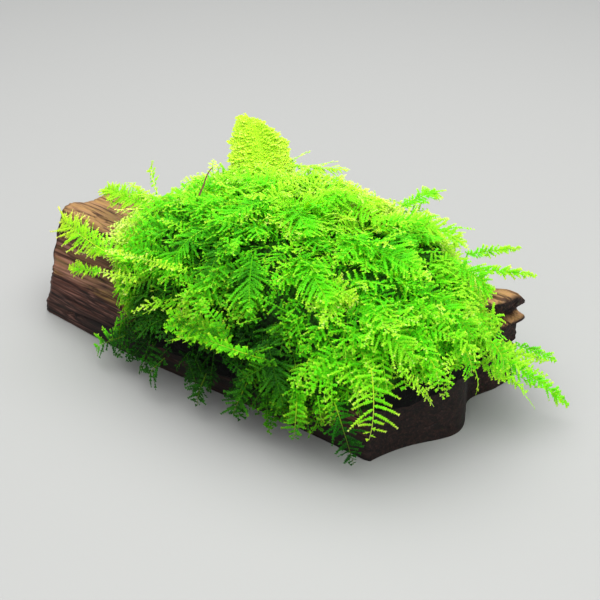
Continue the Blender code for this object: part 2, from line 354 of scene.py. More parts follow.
def left_end(y, z):
    """X of the left end: it slants back to the front ledge, and the back corner is worn off."""
    ledge = 6.0 * (1.0 - smooth(-23.5, -9.0, y)) * (0.45 + 0.55 * smooth(0.0, 11.0, z))
    upper = 1.0 - 0.5 * smooth(11.0, 14.0, z)
    return WOOD_LEFT + ledge * upper + 7.0 * smooth(4.0, 21.0, y) + 0.15 * np.sin(z * 1.3)


def right_end(y, z):
    """X of the right end: a plain face that bulges, and two thin ledges at its back edge."""
    bulge = END_BULGE * np.exp(-(((y + 2.0) / 9.0) ** 2))
    split = smooth(8.0, 18.0, y)
    ledges = smooth(18.4, 19.2, z) + smooth(14.6, 15.2, z) * (1 - smooth(16.2, 16.9, z))
    return WOOD_RIGHT + bulge + split * (3.0 + 2.2 * ledges) + 0.3 * np.sin(y / 3.0)


wood_length = round(WOOD_RIGHT + END_BULGE - WOOD_LEFT, 1)
print("block:", wood_length, "by", 2 * WOOD_HALF_WIDTH, "by", RIDGE_HEIGHT, "mm")

# %% Cross-sections of the block
WOOD_CORNER = 6.0  # power of the superellipse: the higher, the sharper the corner
WOOD_FOOT_CORNER = 14.0
SECTION_POINTS = 304
BODY_RINGS = 236
CAP_RINGS = 26


def section_square():
    """Points round a unit square with superellipse corners, |y|^p + |z|^p = 1, by equal steps."""
    step = np.arange(SECTION_POINTS) / SECTION_POINTS * 4.0
    side, t = np.floor(step).astype(int), step % 1.0
    corners = np.array([(-1, -1), (1, -1), (1, 1), (-1, 1), (-1, -1)], float)
    square = corners[side] * (1 - t)[:, None] + corners[side + 1] * t[:, None]
    power = np.where(square[:, 1:] > 0, WOOD_CORNER, WOOD_FOOT_CORNER)
    return square / (np.abs(square) ** power).sum(axis=1, keepdims=True) ** (1 / power)


def wood_grid():
    """Rings by section points: along runs from end to end, shrink closes the caps."""
    shrink = np.linspace(0.03, 0.985, CAP_RINGS)
    body = 0.012 + 0.976 * np.linspace(0.0, 1.0, BODY_RINGS) ** 1.15
    along = np.concatenate([np.zeros(CAP_RINGS), body, np.ones(CAP_RINGS)])[:, None]
    size = np.concatenate([shrink, np.ones(BODY_RINGS), shrink[::-1]])[:, None]
    square = section_square()
    y_unit, z_unit = square[:, 0] * size, square[:, 1] * size
    x_about = WOOD_LEFT + (WOOD_RIGHT - WOOD_LEFT) * along
    lean = 1.2 * np.sin(x_about / 23.0)
    y = WOOD_HALF_WIDTH * y_unit * (1.0 - 0.05 * smooth(-20.0, -49.0, x_about)) + lean * y_unit * y_unit
    top = wood_top(x_about, y)
    z = np.where(z_unit > 0, WOOD_MID_HEIGHT + (top - WOOD_MID_HEIGHT) * z_unit,
                 WOOD_MID_HEIGHT * (1.0 + 1.12 * z_unit))
    z = np.maximum(z, 0.0)
    x = left_end(y, z) * (1 - along) + right_end(y, z) * along
    return np.stack([x, y, z], axis=-1)


print("sections of the block:", BODY_RINGS + 2 * CAP_RINGS, "of", SECTION_POINTS, "points")

# %% Relief of the block
FIBRE_SIZE = (13.0, 0.7, 0.7)
SPLIT_SIZE = (24.0, 2.6, 2.6)
LUMP_SIZE = (9.0, 5.0, 5.0)


def wood_relief(points):
    """Fibres 0.7 mm wide and splits 3 mm apart, both drawn out along the block, and soft lumps:
    each a random field divided by its size. A split is where its field is near 0.5."""
    fibre = field(points / FIBRE_SIZE + 40.0)
    split = field(points / SPLIT_SIZE + 90.0)
    lump = field(points / LUMP_SIZE + 11.0)
    crack = smooth(0.10, 0.0, np.abs(split - 0.5)) * smooth(0.35, 0.6, lump)
    return 0.34 * (fibre - 0.6) - 0.75 * crack + 0.7 * (lump - 0.6)


ridge_line = np.linspace((WOOD_LEFT, 0.0, RIDGE_HEIGHT), (WOOD_RIGHT, 0.0, RIDGE_HEIGHT), 400)
ridge_relief = wood_relief(ridge_line)
print("relief along the ridge:", ridge_relief.min().round(2), "to", ridge_relief.max().round(2), "mm")

# %% Normals and faces of a grid
def grid_normals(grid):
    """Outward normals of rings by points, from the cross product of the two grid directions."""
    along = np.gradient(grid, axis=0)
    around = np.roll(grid, -1, axis=1) - np.roll(grid, 1, axis=1)
    return unit(np.cross(around, along))


def wall_faces(start, k, n, count):
    """Two triangles for each quad between rings that begin at start: from point k to its next, n."""
    a, b, c, d = start + k, start + n, start + n + count, start + k + count
    return np.concatenate([np.stack(half, -1).reshape(-1, 3) for half in ((a, b, c), (a, c, d))])


def closed_rings(grid, first, last):
    """Quads between rings and fans to the two poles, all as triangles, facing out."""
    rings, count = grid.shape[:2]
    points = np.concatenate([[first], grid.reshape(-1, 3), [last]])
    k = np.arange(count)
    n = (k + 1) % count
    start = 1 + np.arange(rings - 1)[:, None] * count
    wall = wall_faces(start, k, n, count)
    low = np.stack([0 * k, 1 + n, 1 + k], -1)
    top = 1 + (rings - 1) * count
    high = np.stack([0 * k + len(points) - 1, top + k, top + n], -1)
    return points, np.concatenate([low, wall, high])


# %% Build the block
def wood_growth(grid, outward):
    """Worn and lit, on patches of the upturned faces and on fresh edges, partly wear and partly
    painted light; and painted shade, on the right end face and along the foot.
    """
    x, y, z = np.moveaxis(grid, -1, 0)
    # only faces that turn up to the overhead light take the worn colour: partly wear, partly painted
    # light
    upturned = smooth(0.35, 0.9, outward[..., 2])
    fresh = smooth(40.0, 44.0, x) * smooth(7.0, 12.0, y)
    fresh = fresh + smooth(-26.0, -34.0, x) * smooth(11.0, 15.0, z)
    patches = smooth(0.35, 0.7, field(grid / (12.0, 1.6, 1.6) + 5.0))
    worn = upturned * np.maximum(patches, 0.85 * np.minimum(fresh, 1.0))
    # painted shade on the right end face, a little less towards its back
    end = smooth(0.3, 0.7, outward[..., 0]) * (0.8 + 0.2 * smooth(16.0, 9.0, y))
    # painted shadow along the foot of the front faces, strongest under the moss's overhang
    foot = smooth(0.3, 0.7, -outward[..., 1]) * smooth(9.0, 3.0, z)
    foot = foot * (0.5 + 0.5 * smooth(-40.0, -28.0, x))
    both = np.stack([worn.ravel(), np.maximum(end, foot).ravel()], axis=-1)
    worn, painted_shade = np.concatenate([np.zeros((1, 2)), both, np.zeros((1, 2))]).T
    return np.column_stack([worn, painted_shade, worn])


def make_driftwood():
    """The grid, pushed along its normals by the relief; the base stays flat."""
    grid = wood_grid()
    outward = grid_normals(grid)
    plain_end = smooth(0.6, 0.9, outward[..., 0]) * smooth(12.0, 2.0, grid[..., 1])
    off_ground = smooth(0.0, 2.0, grid[..., 2])
    push = wood_relief(grid) * off_ground * (1.0 - 0.7 * plain_end)
    shaped = grid + outward * push[..., None]
    shaped[..., 2] = np.maximum(shaped[..., 2], 0.0)
    points, faces = closed_rings(shaped, shaped[0].mean(axis=0), shaped[-1].mean(axis=0))
    growth = wood_growth(grid, outward)
    return make_piece("driftwood_grain", points, faces, wood_finish, growth, shade_smooth=True)


driftwood = make_driftwood()

# %% [markdown]
# ## The cushion's form
#
# Every shoot has to know where the cushion is. A box squared off like a cushion, the
# superellipsoid, gives the distance from the cushion's centre to its surface in any
# direction with one formula, so a point can be set at any height over the surface with no
# search. The same formula made the solid that the physics uses.

# %% Envelope of the moss
MAT_CENTRE = np.array([10.0, -1.0, 9.5])
MAT_REACH_LOW = np.array([43.0, 29.0, 6.5])
MAT_REACH_HIGH = np.array([48.0, 29.0, 29.0])
PLAN_POWER = 3.4
DOME_POWER = 2.3
RIGHT_LIFT = 4.0
# Two planes cut the dome, to bare the block's back right corner and its front face at the left:
# each one's way across, and its place from the cushion's centre.
CUTS = ((np.array([0.93, 1.0, 0.72]), 57.8), (np.array([-0.54, -0.84, -0.35]), 35.0))


def envelope_radius(direction):
    """Distance from the centre to the surface: squared off in plan, rounder in elevation."""
    share = np.abs(direction) / np.where(direction > 0, MAT_REACH_HIGH, MAT_REACH_LOW)
    plan = (share[..., 0] ** PLAN_POWER + share[..., 1] ** PLAN_POWER) ** (1 / PLAN_POWER)
    radius = (plan**DOME_POWER + share[..., 2] ** DOME_POWER) ** (-1 / DOME_POWER)
    for way, reach in CUTS:
        radius = np.minimum(radius, reach / np.maximum(direction @ way, 0.1))
    return radius


def raised(points, sign=1.0):
    """Points moved up as the cushion rises towards its right end."""
    lift = RIGHT_LIFT * smooth(22.0, 50.0, points[..., 0])
    return points + np.multiply.outer(sign * lift, (0.0, 0.0, 1.0))


def height_over(points):
    """How far each point is outside the envelope, and the way out there.

    Below its widest level the envelope counts as a straight wall, as moss hangs down."""
    level = raised(points, -1.0) - MAT_CENTRE
    level[..., 2] = np.maximum(level[..., 2], 0.0)
    distance = np.linalg.norm(level, axis=-1)
    direction = level / distance[..., None]
    return distance - envelope_radius(direction), direction


def direction_of(bearing, elevation):
    """Unit vector from angles in degrees: bearing from +X towards +Y, elevation upwards."""
    b, e = np.radians(bearing), np.radians(elevation)
    return np.stack([np.cos(e) * np.cos(b), np.cos(e) * np.sin(b), np.sin(e + 0 * b)], axis=-1)


print("cushion:", MAT_REACH_LOW + MAT_REACH_HIGH, "mm, before its cuts and its lift")

# %% [markdown]
# Between the shoots one looks into a dark tangle of old stems. Modelling each of them would
# be lost work, so the tangle is one rough closed shape, 2 mm and more under the cushion's
# surface, with the block cut out of it, and the shoots grow through it.

# %% Dark bed under the shoots
BED_BEARINGS = 200
BED_ELEVATIONS = 90
BED_DEPTH = 2.0
BED_LUMP, BED_GRAIN = 3.2, 1.1  # sizes of its roughness in mm
BED_END = 84.0  # degrees up and down, where fans close it


def make_bed():
    """The envelope, sunk by 2 mm and by two random fields, on a grid of bearing and elevation."""
    bearing = np.arange(BED_BEARINGS) * 360.0 / BED_BEARINGS
    elevation = np.linspace(-BED_END, BED_END, BED_ELEVATIONS)[:, None]
    direction = direction_of(bearing, elevation)
    level = MAT_CENTRE + direction * envelope_radius(direction)[..., None]
    rough = 1.6 * field(level / BED_LUMP + 20.0) + field(level / BED_GRAIN + 60.0)
    level = level - direction * (BED_DEPTH + rough)[..., None]
    grid = raised(level)
    points, faces = closed_rings(grid, grid[0].mean(axis=0), grid[-1].mean(axis=0))
    return make_piece("moss_bed", points, faces, bed_finish)


def cut_out(piece, cutter):
    """Takes the cutter's shape out of the piece with an exact Boolean, applied to its mesh."""
    step = piece.modifiers.new("room for the block", "BOOLEAN")
    step.operation = "DIFFERENCE"
    step.solver = "EXACT"
    step.object = cutter
    view = bpy.context.evaluated_depsgraph_get()
    cut = bpy.data.meshes.new_from_object(piece.evaluated_get(view))
    piece.modifiers.clear()
    piece.data = cut


def closed_copy(node_name):
    """A copy of a CAD node whose loose triangles are merged into one closed mesh."""
    work = bmesh.new()
    work.from_mesh(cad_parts[node_name].data)
    bmesh.ops.remove_doubles(work, verts=work.verts, dist=1e-6)
    mesh = bpy.data.meshes.new(node_name + "_copy")
    work.to_mesh(mesh)
    work.free()
    copy = bpy.data.objects.new(node_name + "_copy", mesh)
    bpy.context.scene.collection.objects.link(copy)
    return copy


bed = make_bed()
block_copy = closed_copy("driftwood")
cut_out(bed, block_copy)
bpy.data.objects.remove(block_copy, do_unlink=True)

# %% [markdown]
# ## One moss frond
#
# A frond is a stem with side branches left and right in turn, like a feather, and every
# branch is clad in overlapping leaf pairs. Modelling each leaf as a curved blade would
# cost millions of faces, so a leaf pair is a small closed arrowhead of four triangles: its
# two barbs are the leaves, and a row of arrowheads reads as a leafy branch. The whole of
# the moss is worked out at once: first all stems, then all branches on them, then all
# leaf pairs on those.

# %% Sizes of a frond
SPINE_STEPS = 10
BRANCH_STEP = 0.46  # between side branches, left and right in turn
LEAF_STEP = 0.42
LEAF_LENGTH = 0.74
LEAF_SPAN = 0.78
LEAF_RIDGE = 0.30  # height of the ridge, as a share of half the span
STEM_WIDTH = 0.30
FEATHER = (78.0, 50.0)  # degrees between stem and branch, at root and tip


def blade_profile(t):
    """Share of the full width at t, 0 at the root to 1 at the tip: broad low, pointed high."""
    return np.minimum(0.5 + 1.6 * t, 1.12 - t**2.2)


print("leaf pair:", LEAF_LENGTH, "by", LEAF_SPAN, "mm, a side branch every", BRANCH_STEP, "mm")

# %% Places on a stem
WOOD_MARGIN = 0.7  # room between a stem and the block
LOWEST = 1.3  # height that a stem keeps over the ground
STEPS = np.linspace(0.0, 1.0, SPINE_STEPS)[None, :, None]  # t, from the root of a stem to its tip


def straight_spines(roots, tips):
    """Points at even steps from each root to its tip: root (1 - t) + tip t."""
    return roots[:, None] * (1 - STEPS) + tips[:, None] * STEPS


def off_the_block(points):
    """Points inside the block go up onto its top or out of its long side, whichever is nearer,
    and none goes under the ground."""
    x, y, z = points[..., 0], points[..., 1], points[..., 2]
    room = WOOD_HALF_WIDTH + WOOD_MARGIN - np.abs(y)
    rise = wood_top(x, np.clip(y, -WOOD_HALF_WIDTH, WOOD_HALF_WIDTH)) + WOOD_MARGIN - z
    inside = (room > 0) & (rise > 0) & (x > WOOD_LEFT) & (x < WOOD_RIGHT)
    y = y + np.where(inside & (room < rise), room * np.sign(y), 0.0)
    z = z + np.where(inside & (room >= rise), rise, 0.0)
    return np.stack([x, y, np.maximum(z, LOWEST)], axis=-1)


print("steps along a stem:", STEPS.ravel().round(2))

# %% Along and across a stem
FACE_HINT = (0.25, -0.35, 0.2)  # the way that a wide blade also turns to


def along_spines(spines, owner, t):
    """Points and unit directions at t, 0 to 1, on the spine of each owner, by straight steps."""
    place = np.clip(t, 0.0, 0.9999) * (spines.shape[1] - 1)
    low = np.floor(place).astype(int)
    start, end = spines[owner, low], spines[owner, low + 1]
    return start + (end - start) * (place - low)[:, None], unit(end - start)


def spine_lengths(spines):
    """Length of each spine: the sum of its straight steps."""
    return np.linalg.norm(np.diff(spines, axis=1), axis=-1).sum(axis=1)


def blade_axes(spines, widths, turns, flatness):
    """Along each spine, the way across its blade and the way its face looks.

    A blade lies along the cushion, or level as far as flatness says, and is turned about
    its stem by its own angle."""
    along = unit(np.gradient(spines, axis=1))
    hint = np.multiply.outer(widths / 10.0, FACE_HINT) + np.multiply.outer(flatness, (0.0, 0.0, 1.0))
    outward = unit(height_over(spines)[1] + hint[:, None])
    level = unit(np.cross(outward, along))
    turn = turns[:, None, None]
    side = level * np.cos(turn) + np.cross(along, level) * np.sin(turn)
    return side, np.cross(along, side)


# %% Meshes of leaves and stems
def leaf_pairs(centre, ahead, side, size):
    """Arrowheads: a leaf each way from the back point, and a ridge over the middle."""
    up = np.cross(ahead, side)
    long, wide = (LEAF_LENGTH * size)[:, None], (LEAF_SPAN / 2 * size)[:, None]
    back = centre - ahead * long * 0.5
    right = centre + ahead * long * 0.5 - side * wide
    left = centre + ahead * long * 0.5 + side * wide
    over = centre + ahead * long * 0.3 + up * wide * LEAF_RIDGE
    points = np.stack([back, right, left, over], axis=1)
    faces = np.array([(0, 1, 3), (0, 3, 2), (0, 2, 1), (1, 2, 3)])
    return points.reshape(-1, 3), (faces + 4 * np.arange(len(centre))[:, None, None]).reshape(-1, 3)


def stem_tubes(spines, side, face, widths):
    """Three-sided tubes along the spines, tapered to the tip and closed at both ends."""
    count, steps = spines.shape[:2]
    taper = np.linspace(1.0, 0.35, steps)[None, :, None, None] * widths[:, None, None, None] / 2
    turn = np.radians([90.0, 210.0, 330.0])[None, None, :, None]
    across = np.cos(turn) * side[:, :, None] + np.sin(turn) * face[:, :, None]
    ring = spines[:, :, None] + taper * across
    k = np.arange(3)
    n = (k + 1) % 3
    wall = wall_faces(3 * np.arange(steps - 1)[:, None], k, n, 3)
    top = 3 * (steps - 1)
    one = np.concatenate([wall, [(2, 1, 0), (top, top + 1, top + 2)]])
    faces = one + 3 * steps * np.arange(count)[:, None, None]
    return ring.reshape(-1, 3), faces.reshape(-1, 3)


# %% [markdown]
# The steps below grow the fronds in the order of the plant. Branches leave the stem wide
# low down and lean forward near the tip, and they're as long as the blade is wide there.
# Each has its own curl and its own shade, since a cushion of equal feathers looks stamped.
# A leaf is paler towards the end of its branch, and darker the deeper it sits in the
# cushion or the nearer to the ground, where no light comes.

# %% Branches
# Where a value varies by chance, its middle and its spread.
ANGLE = (0.0, 11.0)  # degrees
TILT = (0.05, 0.28)
CURL_AHEAD = (0.03, 0.035)
CURL_OUT = (-0.04, 0.03)
SHADE = (0.0, 0.06)
REACH = (0.5, 1.1)  # least and most, as a share of the blade's half width


def side_branches(spines, axes, looks, random):
    """All side branches: their frond, place on its stem, base, heading, length, curl and shade."""
    side, face = axes
    counts = np.maximum(spine_lengths(spines) * looks["fullness"] / BRANCH_STEP, 4).astype(int)
    frond, number = spread(counts)
    count = len(number)
    t = np.clip((number + 0.5 + random.uniform(-0.3, 0.3, count)) / counts[frond], 0.0, 1.0)
    base, ahead = along_spines(spines, frond, t)
    step = np.round(t * (spines.shape[1] - 1)).astype(int)
    hand = np.where(number % 2 == 0, 1.0, -1.0)[:, None]
    across, out = side[frond, step] * hand, face[frond, step]
    low, high = looks["feather"][frond].T
    angle = np.radians(low + (high - low) * t + random.normal(*ANGLE, count))[:, None]
    tilt = random.normal(*TILT, count)[:, None] * (0.3 + 0.7 * looks["contrast"][frond, None])
    heading = unit(ahead * np.cos(angle) + across * np.sin(angle) + out * tilt)
    reach = looks["width"][frond] / 2 * blade_profile(t) / np.maximum(np.sin(angle[:, 0]), 0.5)
    reach = reach * random.uniform(*REACH, count)
    curl = ahead * random.normal(*CURL_AHEAD, (count, 1)) + out * random.normal(*CURL_OUT, (count, 1))
    shade = random.normal(*SHADE, count)
    return {"frond": frond, "t": t, "base": base, "heading": heading, "out": out, "reach": reach,
            "curl": curl, "shade": shade, "leaf": looks["leaf"][frond],
            "contrast": looks["contrast"][frond]}


# %% Leaves on branches and stems
LOWEST_LEAF = 0.7
ROLL = 0.40  # spread of the turn of a leaf pair about its branch, in radians
LEAF_SIZES = (0.85, 1.12)  # least and most


def branch_leaves(branches, random):
    """Leaf pairs along the branches: their placing, their frond, and how young they are.

    They get smaller towards the end of a branch, as 1.05 - 0.3 share^2, and younger towards
    it and towards the tip of the frond; the last quarter of each branch is the youngest."""
    reach = branches["reach"]
    branch, number = spread(np.maximum(reach / LEAF_STEP, 1).astype(int))
    far = (number + 0.7) * LEAF_STEP
    share = far / np.maximum(reach[branch], 0.5)
    bend = branches["curl"][branch] * (far**2)[:, None]
    centre = branches["base"][branch] + branches["heading"][branch] * far[:, None] + bend
    centre[:, 2] = np.maximum(centre[:, 2], LOWEST_LEAF)
    forward = unit(branches["heading"][branch] + 2.0 * bend / far[:, None])
    roll = random.normal(0.0, ROLL, len(far))[:, None] * branches["contrast"][branch][:, None]
    flat = unit(np.cross(branches["out"][branch], forward))
    turned = unit(flat * np.cos(roll) + np.cross(forward, flat) * np.sin(roll))
    size = random.uniform(*LEAF_SIZES, len(far)) * (1.05 - 0.30 * share**2) * branches["leaf"][branch]
    young = 0.26 * branches["t"][branch] + 0.24 * share**1.5 + 0.26 * smooth(0.75, 0.95, share)
    young = young + branches["shade"][branch]
    return centre, forward, turned, size, branches["frond"][branch], young


def rib_leaves(spines, face, leafy):
    """Smaller leaf pairs along the stems themselves; leafy is 0 for a bare stem, 1 for a clad one."""
    counts = (spine_lengths(spines) * leafy / (LEAF_STEP * 1.3)).astype(int)
    frond, number = spread(counts)
    t = (number + 0.5) / counts[frond]
    centre, ahead = along_spines(spines, frond, t)
    step = np.round(t * (spines.shape[1] - 1)).astype(int)
    side = unit(np.cross(face[frond, step], ahead))
    return centre, ahead, side, 0.8 - 0.25 * t, frond, 0.2 + 0.6 * t**2


# %% [markdown]
# ## Light and shade in the cushion
#
# Light falls off quickly between moss leaves, faster than a lamp in the scene shows it with
# a few hundred thousand leaves. So the light that comes to each leaf is also worked out
# from where it is: how deep under the cushion's surface, how near to the dark fold across
# the front, and how low under the overhang. Beside these numbers stands the hem, the
# height that the shoots hang down to, since none grow where it is dark.

# %% Where it is dark, and how far down the shoots hang
# painted shade: leaves near this line across the front are darkened to a deep green, as in a fold
SHADED_FOLD = np.array([(6.0, -24.0, 31.0), (28.5, -29.5, 21.5)])  # a dark green fold across the front
VALLEY_REACH = (2.0, 10.5)  # distances from it where its shade is full, and gone
DEEPEST = 0.20  # light that reaches the inner leaves there
SOFTER_RIM = 0.55  # and how much more away from it
LIGHT_DEPTH = 2.6  # how far under the cushion's surface the light starts to rise
LIGHT_RANGE = 4.6  # from there up to where it is full
VALLEY_DIMS = 0.45  # share of the light at the surface that the fold takes
LOWEST_LIGHT = ((-20.0, 20.0, 27.0, 38.0, 46.0), (0.10, 0.08, 0.28, 0.27, 0.14))  # by x
# Under the overhang of the front, x and the height that full light reaches down to.
SHADE_TOPS = ((-20.0, -10.0, 4.0, 14.0, 22.0, 28.0, 33.0, 39.0, 50.0, 58.0),
              (10.0, 29.0, 29.0, 28.0, 29.0, 30.0, 24.0, 18.0, 20.0, 14.0))
SHADE_DEPTH = 11.0  # below that height, where only the lowest light is left
# X and the height that the shoots hang down to.
HEM_AT_FRONT = ((-34.0, -22.0, -14.0, -6.0, 2.0, 16.0, 22.0, 28.0, 40.0, 46.0, 50.0, 55.0),
                (5.0, 5.0, 8.0, 12.0, 15.0, 15.0, 12.0, 8.0, 6.5, 8.5, 15.5, 18.5))
HEM_AT_BACK = ((46.0, 55.0), (7.5, 18.0))
# The wood is bare in front of a slanting line at the left: the line's way across, its place on
# it, and the height that the shoots keep there.
LEFT_WAY = np.array([0.745, 0.667])
LEFT_EDGE = -31.0
LEFT_HEM = 22.0


def hem_at(points):
    """Height that the shoots hang down to: uneven along the front, and higher at the right end."""
    x, front = points[..., 0], smooth(0.0, -15.0, points[..., 1])
    hem = np.interp(x, *HEM_AT_FRONT) * front + np.interp(x, *HEM_AT_BACK) * (1 - front)
    return np.maximum(hem, LEFT_HEM * smooth(LEFT_EDGE, LEFT_EDGE - 2.0, points[..., :2] @ LEFT_WAY))


print("hem along the front:", min(HEM_AT_FRONT[1]), "to", max(HEM_AT_FRONT[1]), "mm over the ground")

# %% Light at a place
BACK_SHADE = 9.0  # height that full light reaches down to away from the front


def from_valley(points):
    """Distance from the dark fold, in mm."""
    start, end = SHADED_FOLD
    line = end - start
    t = np.clip((points - start) @ line / (line @ line), 0.0, 1.0)
    return np.linalg.norm(points - start - t[..., None] * line, axis=-1)


def shaded_low(points):
    """Share of light that comes down to each height: under the overhang less than elsewhere."""
    front = smooth(-10.0, -22.0, points[..., 1])
    top = BACK_SHADE + (np.interp(points[..., 0], *SHADE_TOPS) - BACK_SHADE) * front
    lowest = np.interp(points[..., 0], *LOWEST_LIGHT)
    return lowest + (1.0 - lowest) * smooth(top - SHADE_DEPTH, top, points[..., 2])


def light_at(points):
    """0 deep inside the cushion and low over the ground, to 1 outside and high up."""
    away = smooth(*VALLEY_REACH, from_valley(points))
    deepest = DEEPEST + SOFTER_RIM * away
    outer = np.clip((height_over(points)[0] + LIGHT_DEPTH) / LIGHT_RANGE, 0.0, 1.0)
    outer = outer * (1.0 - VALLEY_DIMS + VALLEY_DIMS * away)
    outside = deepest + (1.0 - deepest) * outer
    return outside * shaded_low(points)


def lit(points, share):
    """The light at points, raised towards 1 by share on fronds that stand out of the shade."""
    light = light_at(points)
    return light + (1.0 - light) * share


print("light on the fold's line:", light_at(SHADED_FOLD).round(2))

# %% Light on the dark bed
BED_VALLEY_REACH = (2.0, 12.0)
BED_LIGHT = (0.12, 0.48)  # in the fold, and how much more away from it


def shade_bed(piece):
    """A weaker light for the dark bed, noted on each of its points; none at the hem."""
    mesh = piece.data
    flat = np.empty(3 * len(mesh.vertices), np.float32)
    mesh.vertices.foreach_get("co", flat)
    points = flat.reshape(-1, 3) / MM + ORIGIN
    inside, more = BED_LIGHT
    light = (inside + more * smooth(*BED_VALLEY_REACH, from_valley(points))) * shaded_low(points)
    light = light * smooth(0.0, 5.0, points[:, 2] - hem_at(points))
    note_growth(mesh, np.column_stack([light, light, light]))
    print("light on the bed:", light.min().round(3), "to", light.max().round(3))


shade_bed(bed)

# %% [markdown]
# A whole frond is its stem, its leafy side branches and the leaves on the stem itself. Its
# looks are a row of numbers: width, fullness, angles, age, tint and so on. All fronds of a
# kind are worked out in one go, and each face remembers its frond, so that the mesh can be
# shared out to pieces afterwards.

# %% Whole fronds
EVEN_AGE = 0.35  # how young a leaf is on a frond without contrast
# how much of a leaf's pale young colour is left where the painted light is least
SHADED_AGE = 0.4  # share of it that is left in deep shade, where leaves stay green


def frond_arrays(spines, looks, random):
    """Points, faces and growth of many fronds at once, and which frond each face is on."""
    count = len(spines)
    axes = blade_axes(spines, looks["width"] * looks["facing"], looks["turn"], looks["flatness"])
    tube_points, tube_faces = stem_tubes(spines, *axes, looks["stem"])
    tube_owner = np.repeat(np.arange(count), len(tube_points) // count)
    tube_t = np.tile(np.repeat(STEPS.ravel(), 3), count)
    tube_young = 0.72 - 0.35 * looks["leafy"][tube_owner] + 0.2 * tube_t
    tube_light = lit(tube_points, looks["lit"][tube_owner])
    tube_growth = np.column_stack([tube_young, tube_light, looks["tint"][tube_owner]])

    on_branches = branch_leaves(side_branches(spines, axes, looks, random), random)
    on_stems = rib_leaves(spines, axes[1], looks["leafy"])
    centre, ahead, side, size, owner, young = map(np.concatenate, zip(on_branches, on_stems))
    points, faces = leaf_pairs(centre, ahead, side, size)
    young = EVEN_AGE + (young - EVEN_AGE) * looks["contrast"][owner] + looks["age"][owner]
    light = lit(centre, looks["lit"][owner])
    # painted shade: dimly lit leaves keep less of their pale colour, so they stay deep green
    young = young * (SHADED_AGE + (1.0 - SHADED_AGE) * smooth(0.05, 0.50, light))
    leaf_growth = np.column_stack([young, light, looks["tint"][owner]])
    growth = np.clip(np.concatenate([tube_growth, np.repeat(leaf_growth, 4, axis=0)]), 0.0, 1.0)
    tube_face_owner = np.repeat(np.arange(count), len(tube_faces) // count)
    all_faces = np.concatenate([tube_faces, faces + len(tube_points)])
    face_owner = np.concatenate([tube_face_owner, np.repeat(owner, 4)])
    return np.concatenate([tube_points, points]), all_faces, growth, face_owner


def some_faces(points, faces, growth, chosen):
    """What make_piece takes for the chosen faces of the moss, with only the points they use."""
    used, index = np.unique(faces[chosen], return_inverse=True)
    return points[used], index.reshape(-1, 3), moss_finish, growth[used]


# %% [markdown]
# ## The long fronds
#
# These are the shoots that can be told apart in the photograph: the broad crest, the long
# one at the left, the thin ones at the back, the tail at the lower right, and the clear
# one that hangs in front. Each has its own solid in the CAD model, so each is a piece of
# its own here and takes that solid's place. Rows of the same kind go round the cushion.
# A table is the plainest way to place them, since each one differs.

# %% Table of the long fronds
LONG_FRONDS = {
    # root, tip, width, and how far it arches
    "frond_crest": ((-6.5, 9, 37.8), (-15, 13.5, 45.6), 15.5, 0),
    "frond_left_long": ((-20, -27, 26), (-42.5, -20, 24.8), 9, 2),
    "frond_left_low": ((-20, -29, 22), (-38, -23, 15), 4, 1),
    "frond_back_left": ((-23, -11, 30), (-45.2, -5, 26), 7, 2),
    "frond_left_thin": ((-26, -6, 31), (-32.5, -1, 35), 3.5, 1),
    "frond_bare_stem": ((-6, -12, 37.5), (-15, 1.5, 38.4), 2.4, 1),
    "frond_back_top": ((-3, 14, 37.5), (7.5, 20, 37.5), 8, 0),
    "frond_right_top": ((25, 16, 35), (26, 28, 34.5), 5, 2),
    "frond_right_back": ((40.5, 15, 29), (45, 32, 26), 3, 1),
    "frond_right_thin": ((44, 16.5, 26.5), (51, 29, 22.5), 3, 1),
    "frond_tail": ((58, 8, 14), (70, 14, 5.5), 4.2, 2),
    "frond_tail_upper": ((54, 15.5, 13.5), (62, 21.5, 9.5), 3.2, 1),
    "frond_end_a": ((59, 1, 22), (60, 3, 13), 7, 2),
    "frond_end_b": ((59, -8, 24), (60, -7, 18), 6, 1),
    "frond_end_c": ((57, -16, 24.5), (59, -16, 18.5), 5.5, 1),
    "frond_front_clear": ((50, -25, 24), (52.7, -28.5, 11), 12, 2),
    "frond_front_dark": ((44.5, -28.8, 16), (48, -27, 2.5), 8, 1),
    "frond_front_bright": ((28.8, -30.5, 20), (3.6, -30, 18.5), 7, 2),
    "frond_front_low": ((13, -31, 11), (11, -32, 3), 6, 1),
    "frond_front_left": ((-12, -30, 10), (-21, -31, 4), 7, 1),
    "frond_hem_a": ((1, -31, 10), (-2, -33, 5), 7, 1),
    "frond_hem_b": ((24, -31, 13), (22, -33, 6), 7, 1),
    "frond_hem_c": ((37, -31, 14), (38, -33, 7), 6, 1),
}
print("long fronds:", len(LONG_FRONDS))

# %% Rows of fronds
ROWS = {
    # elevation of root and tip and how far the tip turns, in degrees; width; the roots' bearings
    "crown": (80, 58, 14, 9, (20, 60, 164, 236, 308)),
    "upper": (52, 30, 8, 10, (15, 75, 105, 135, 166, 200, 238, 262, 286, 314, 344)),
    "flank": (27, 12, 8, 9, (331, 350, 8)),
    "lower": (22, 1, 6, 9, (56, 72, 88, 106, 124, 142, 302)),
}
TIP_STANDS_OUT = 1.4  # over the envelope
ROW_GAP = 0.2  # between the envelope and a row's roots
ROW_TIPS = {"frond_flank_03": (53.0, 8.5, 27.5)}  # shorter than its row, off the corner's ledge


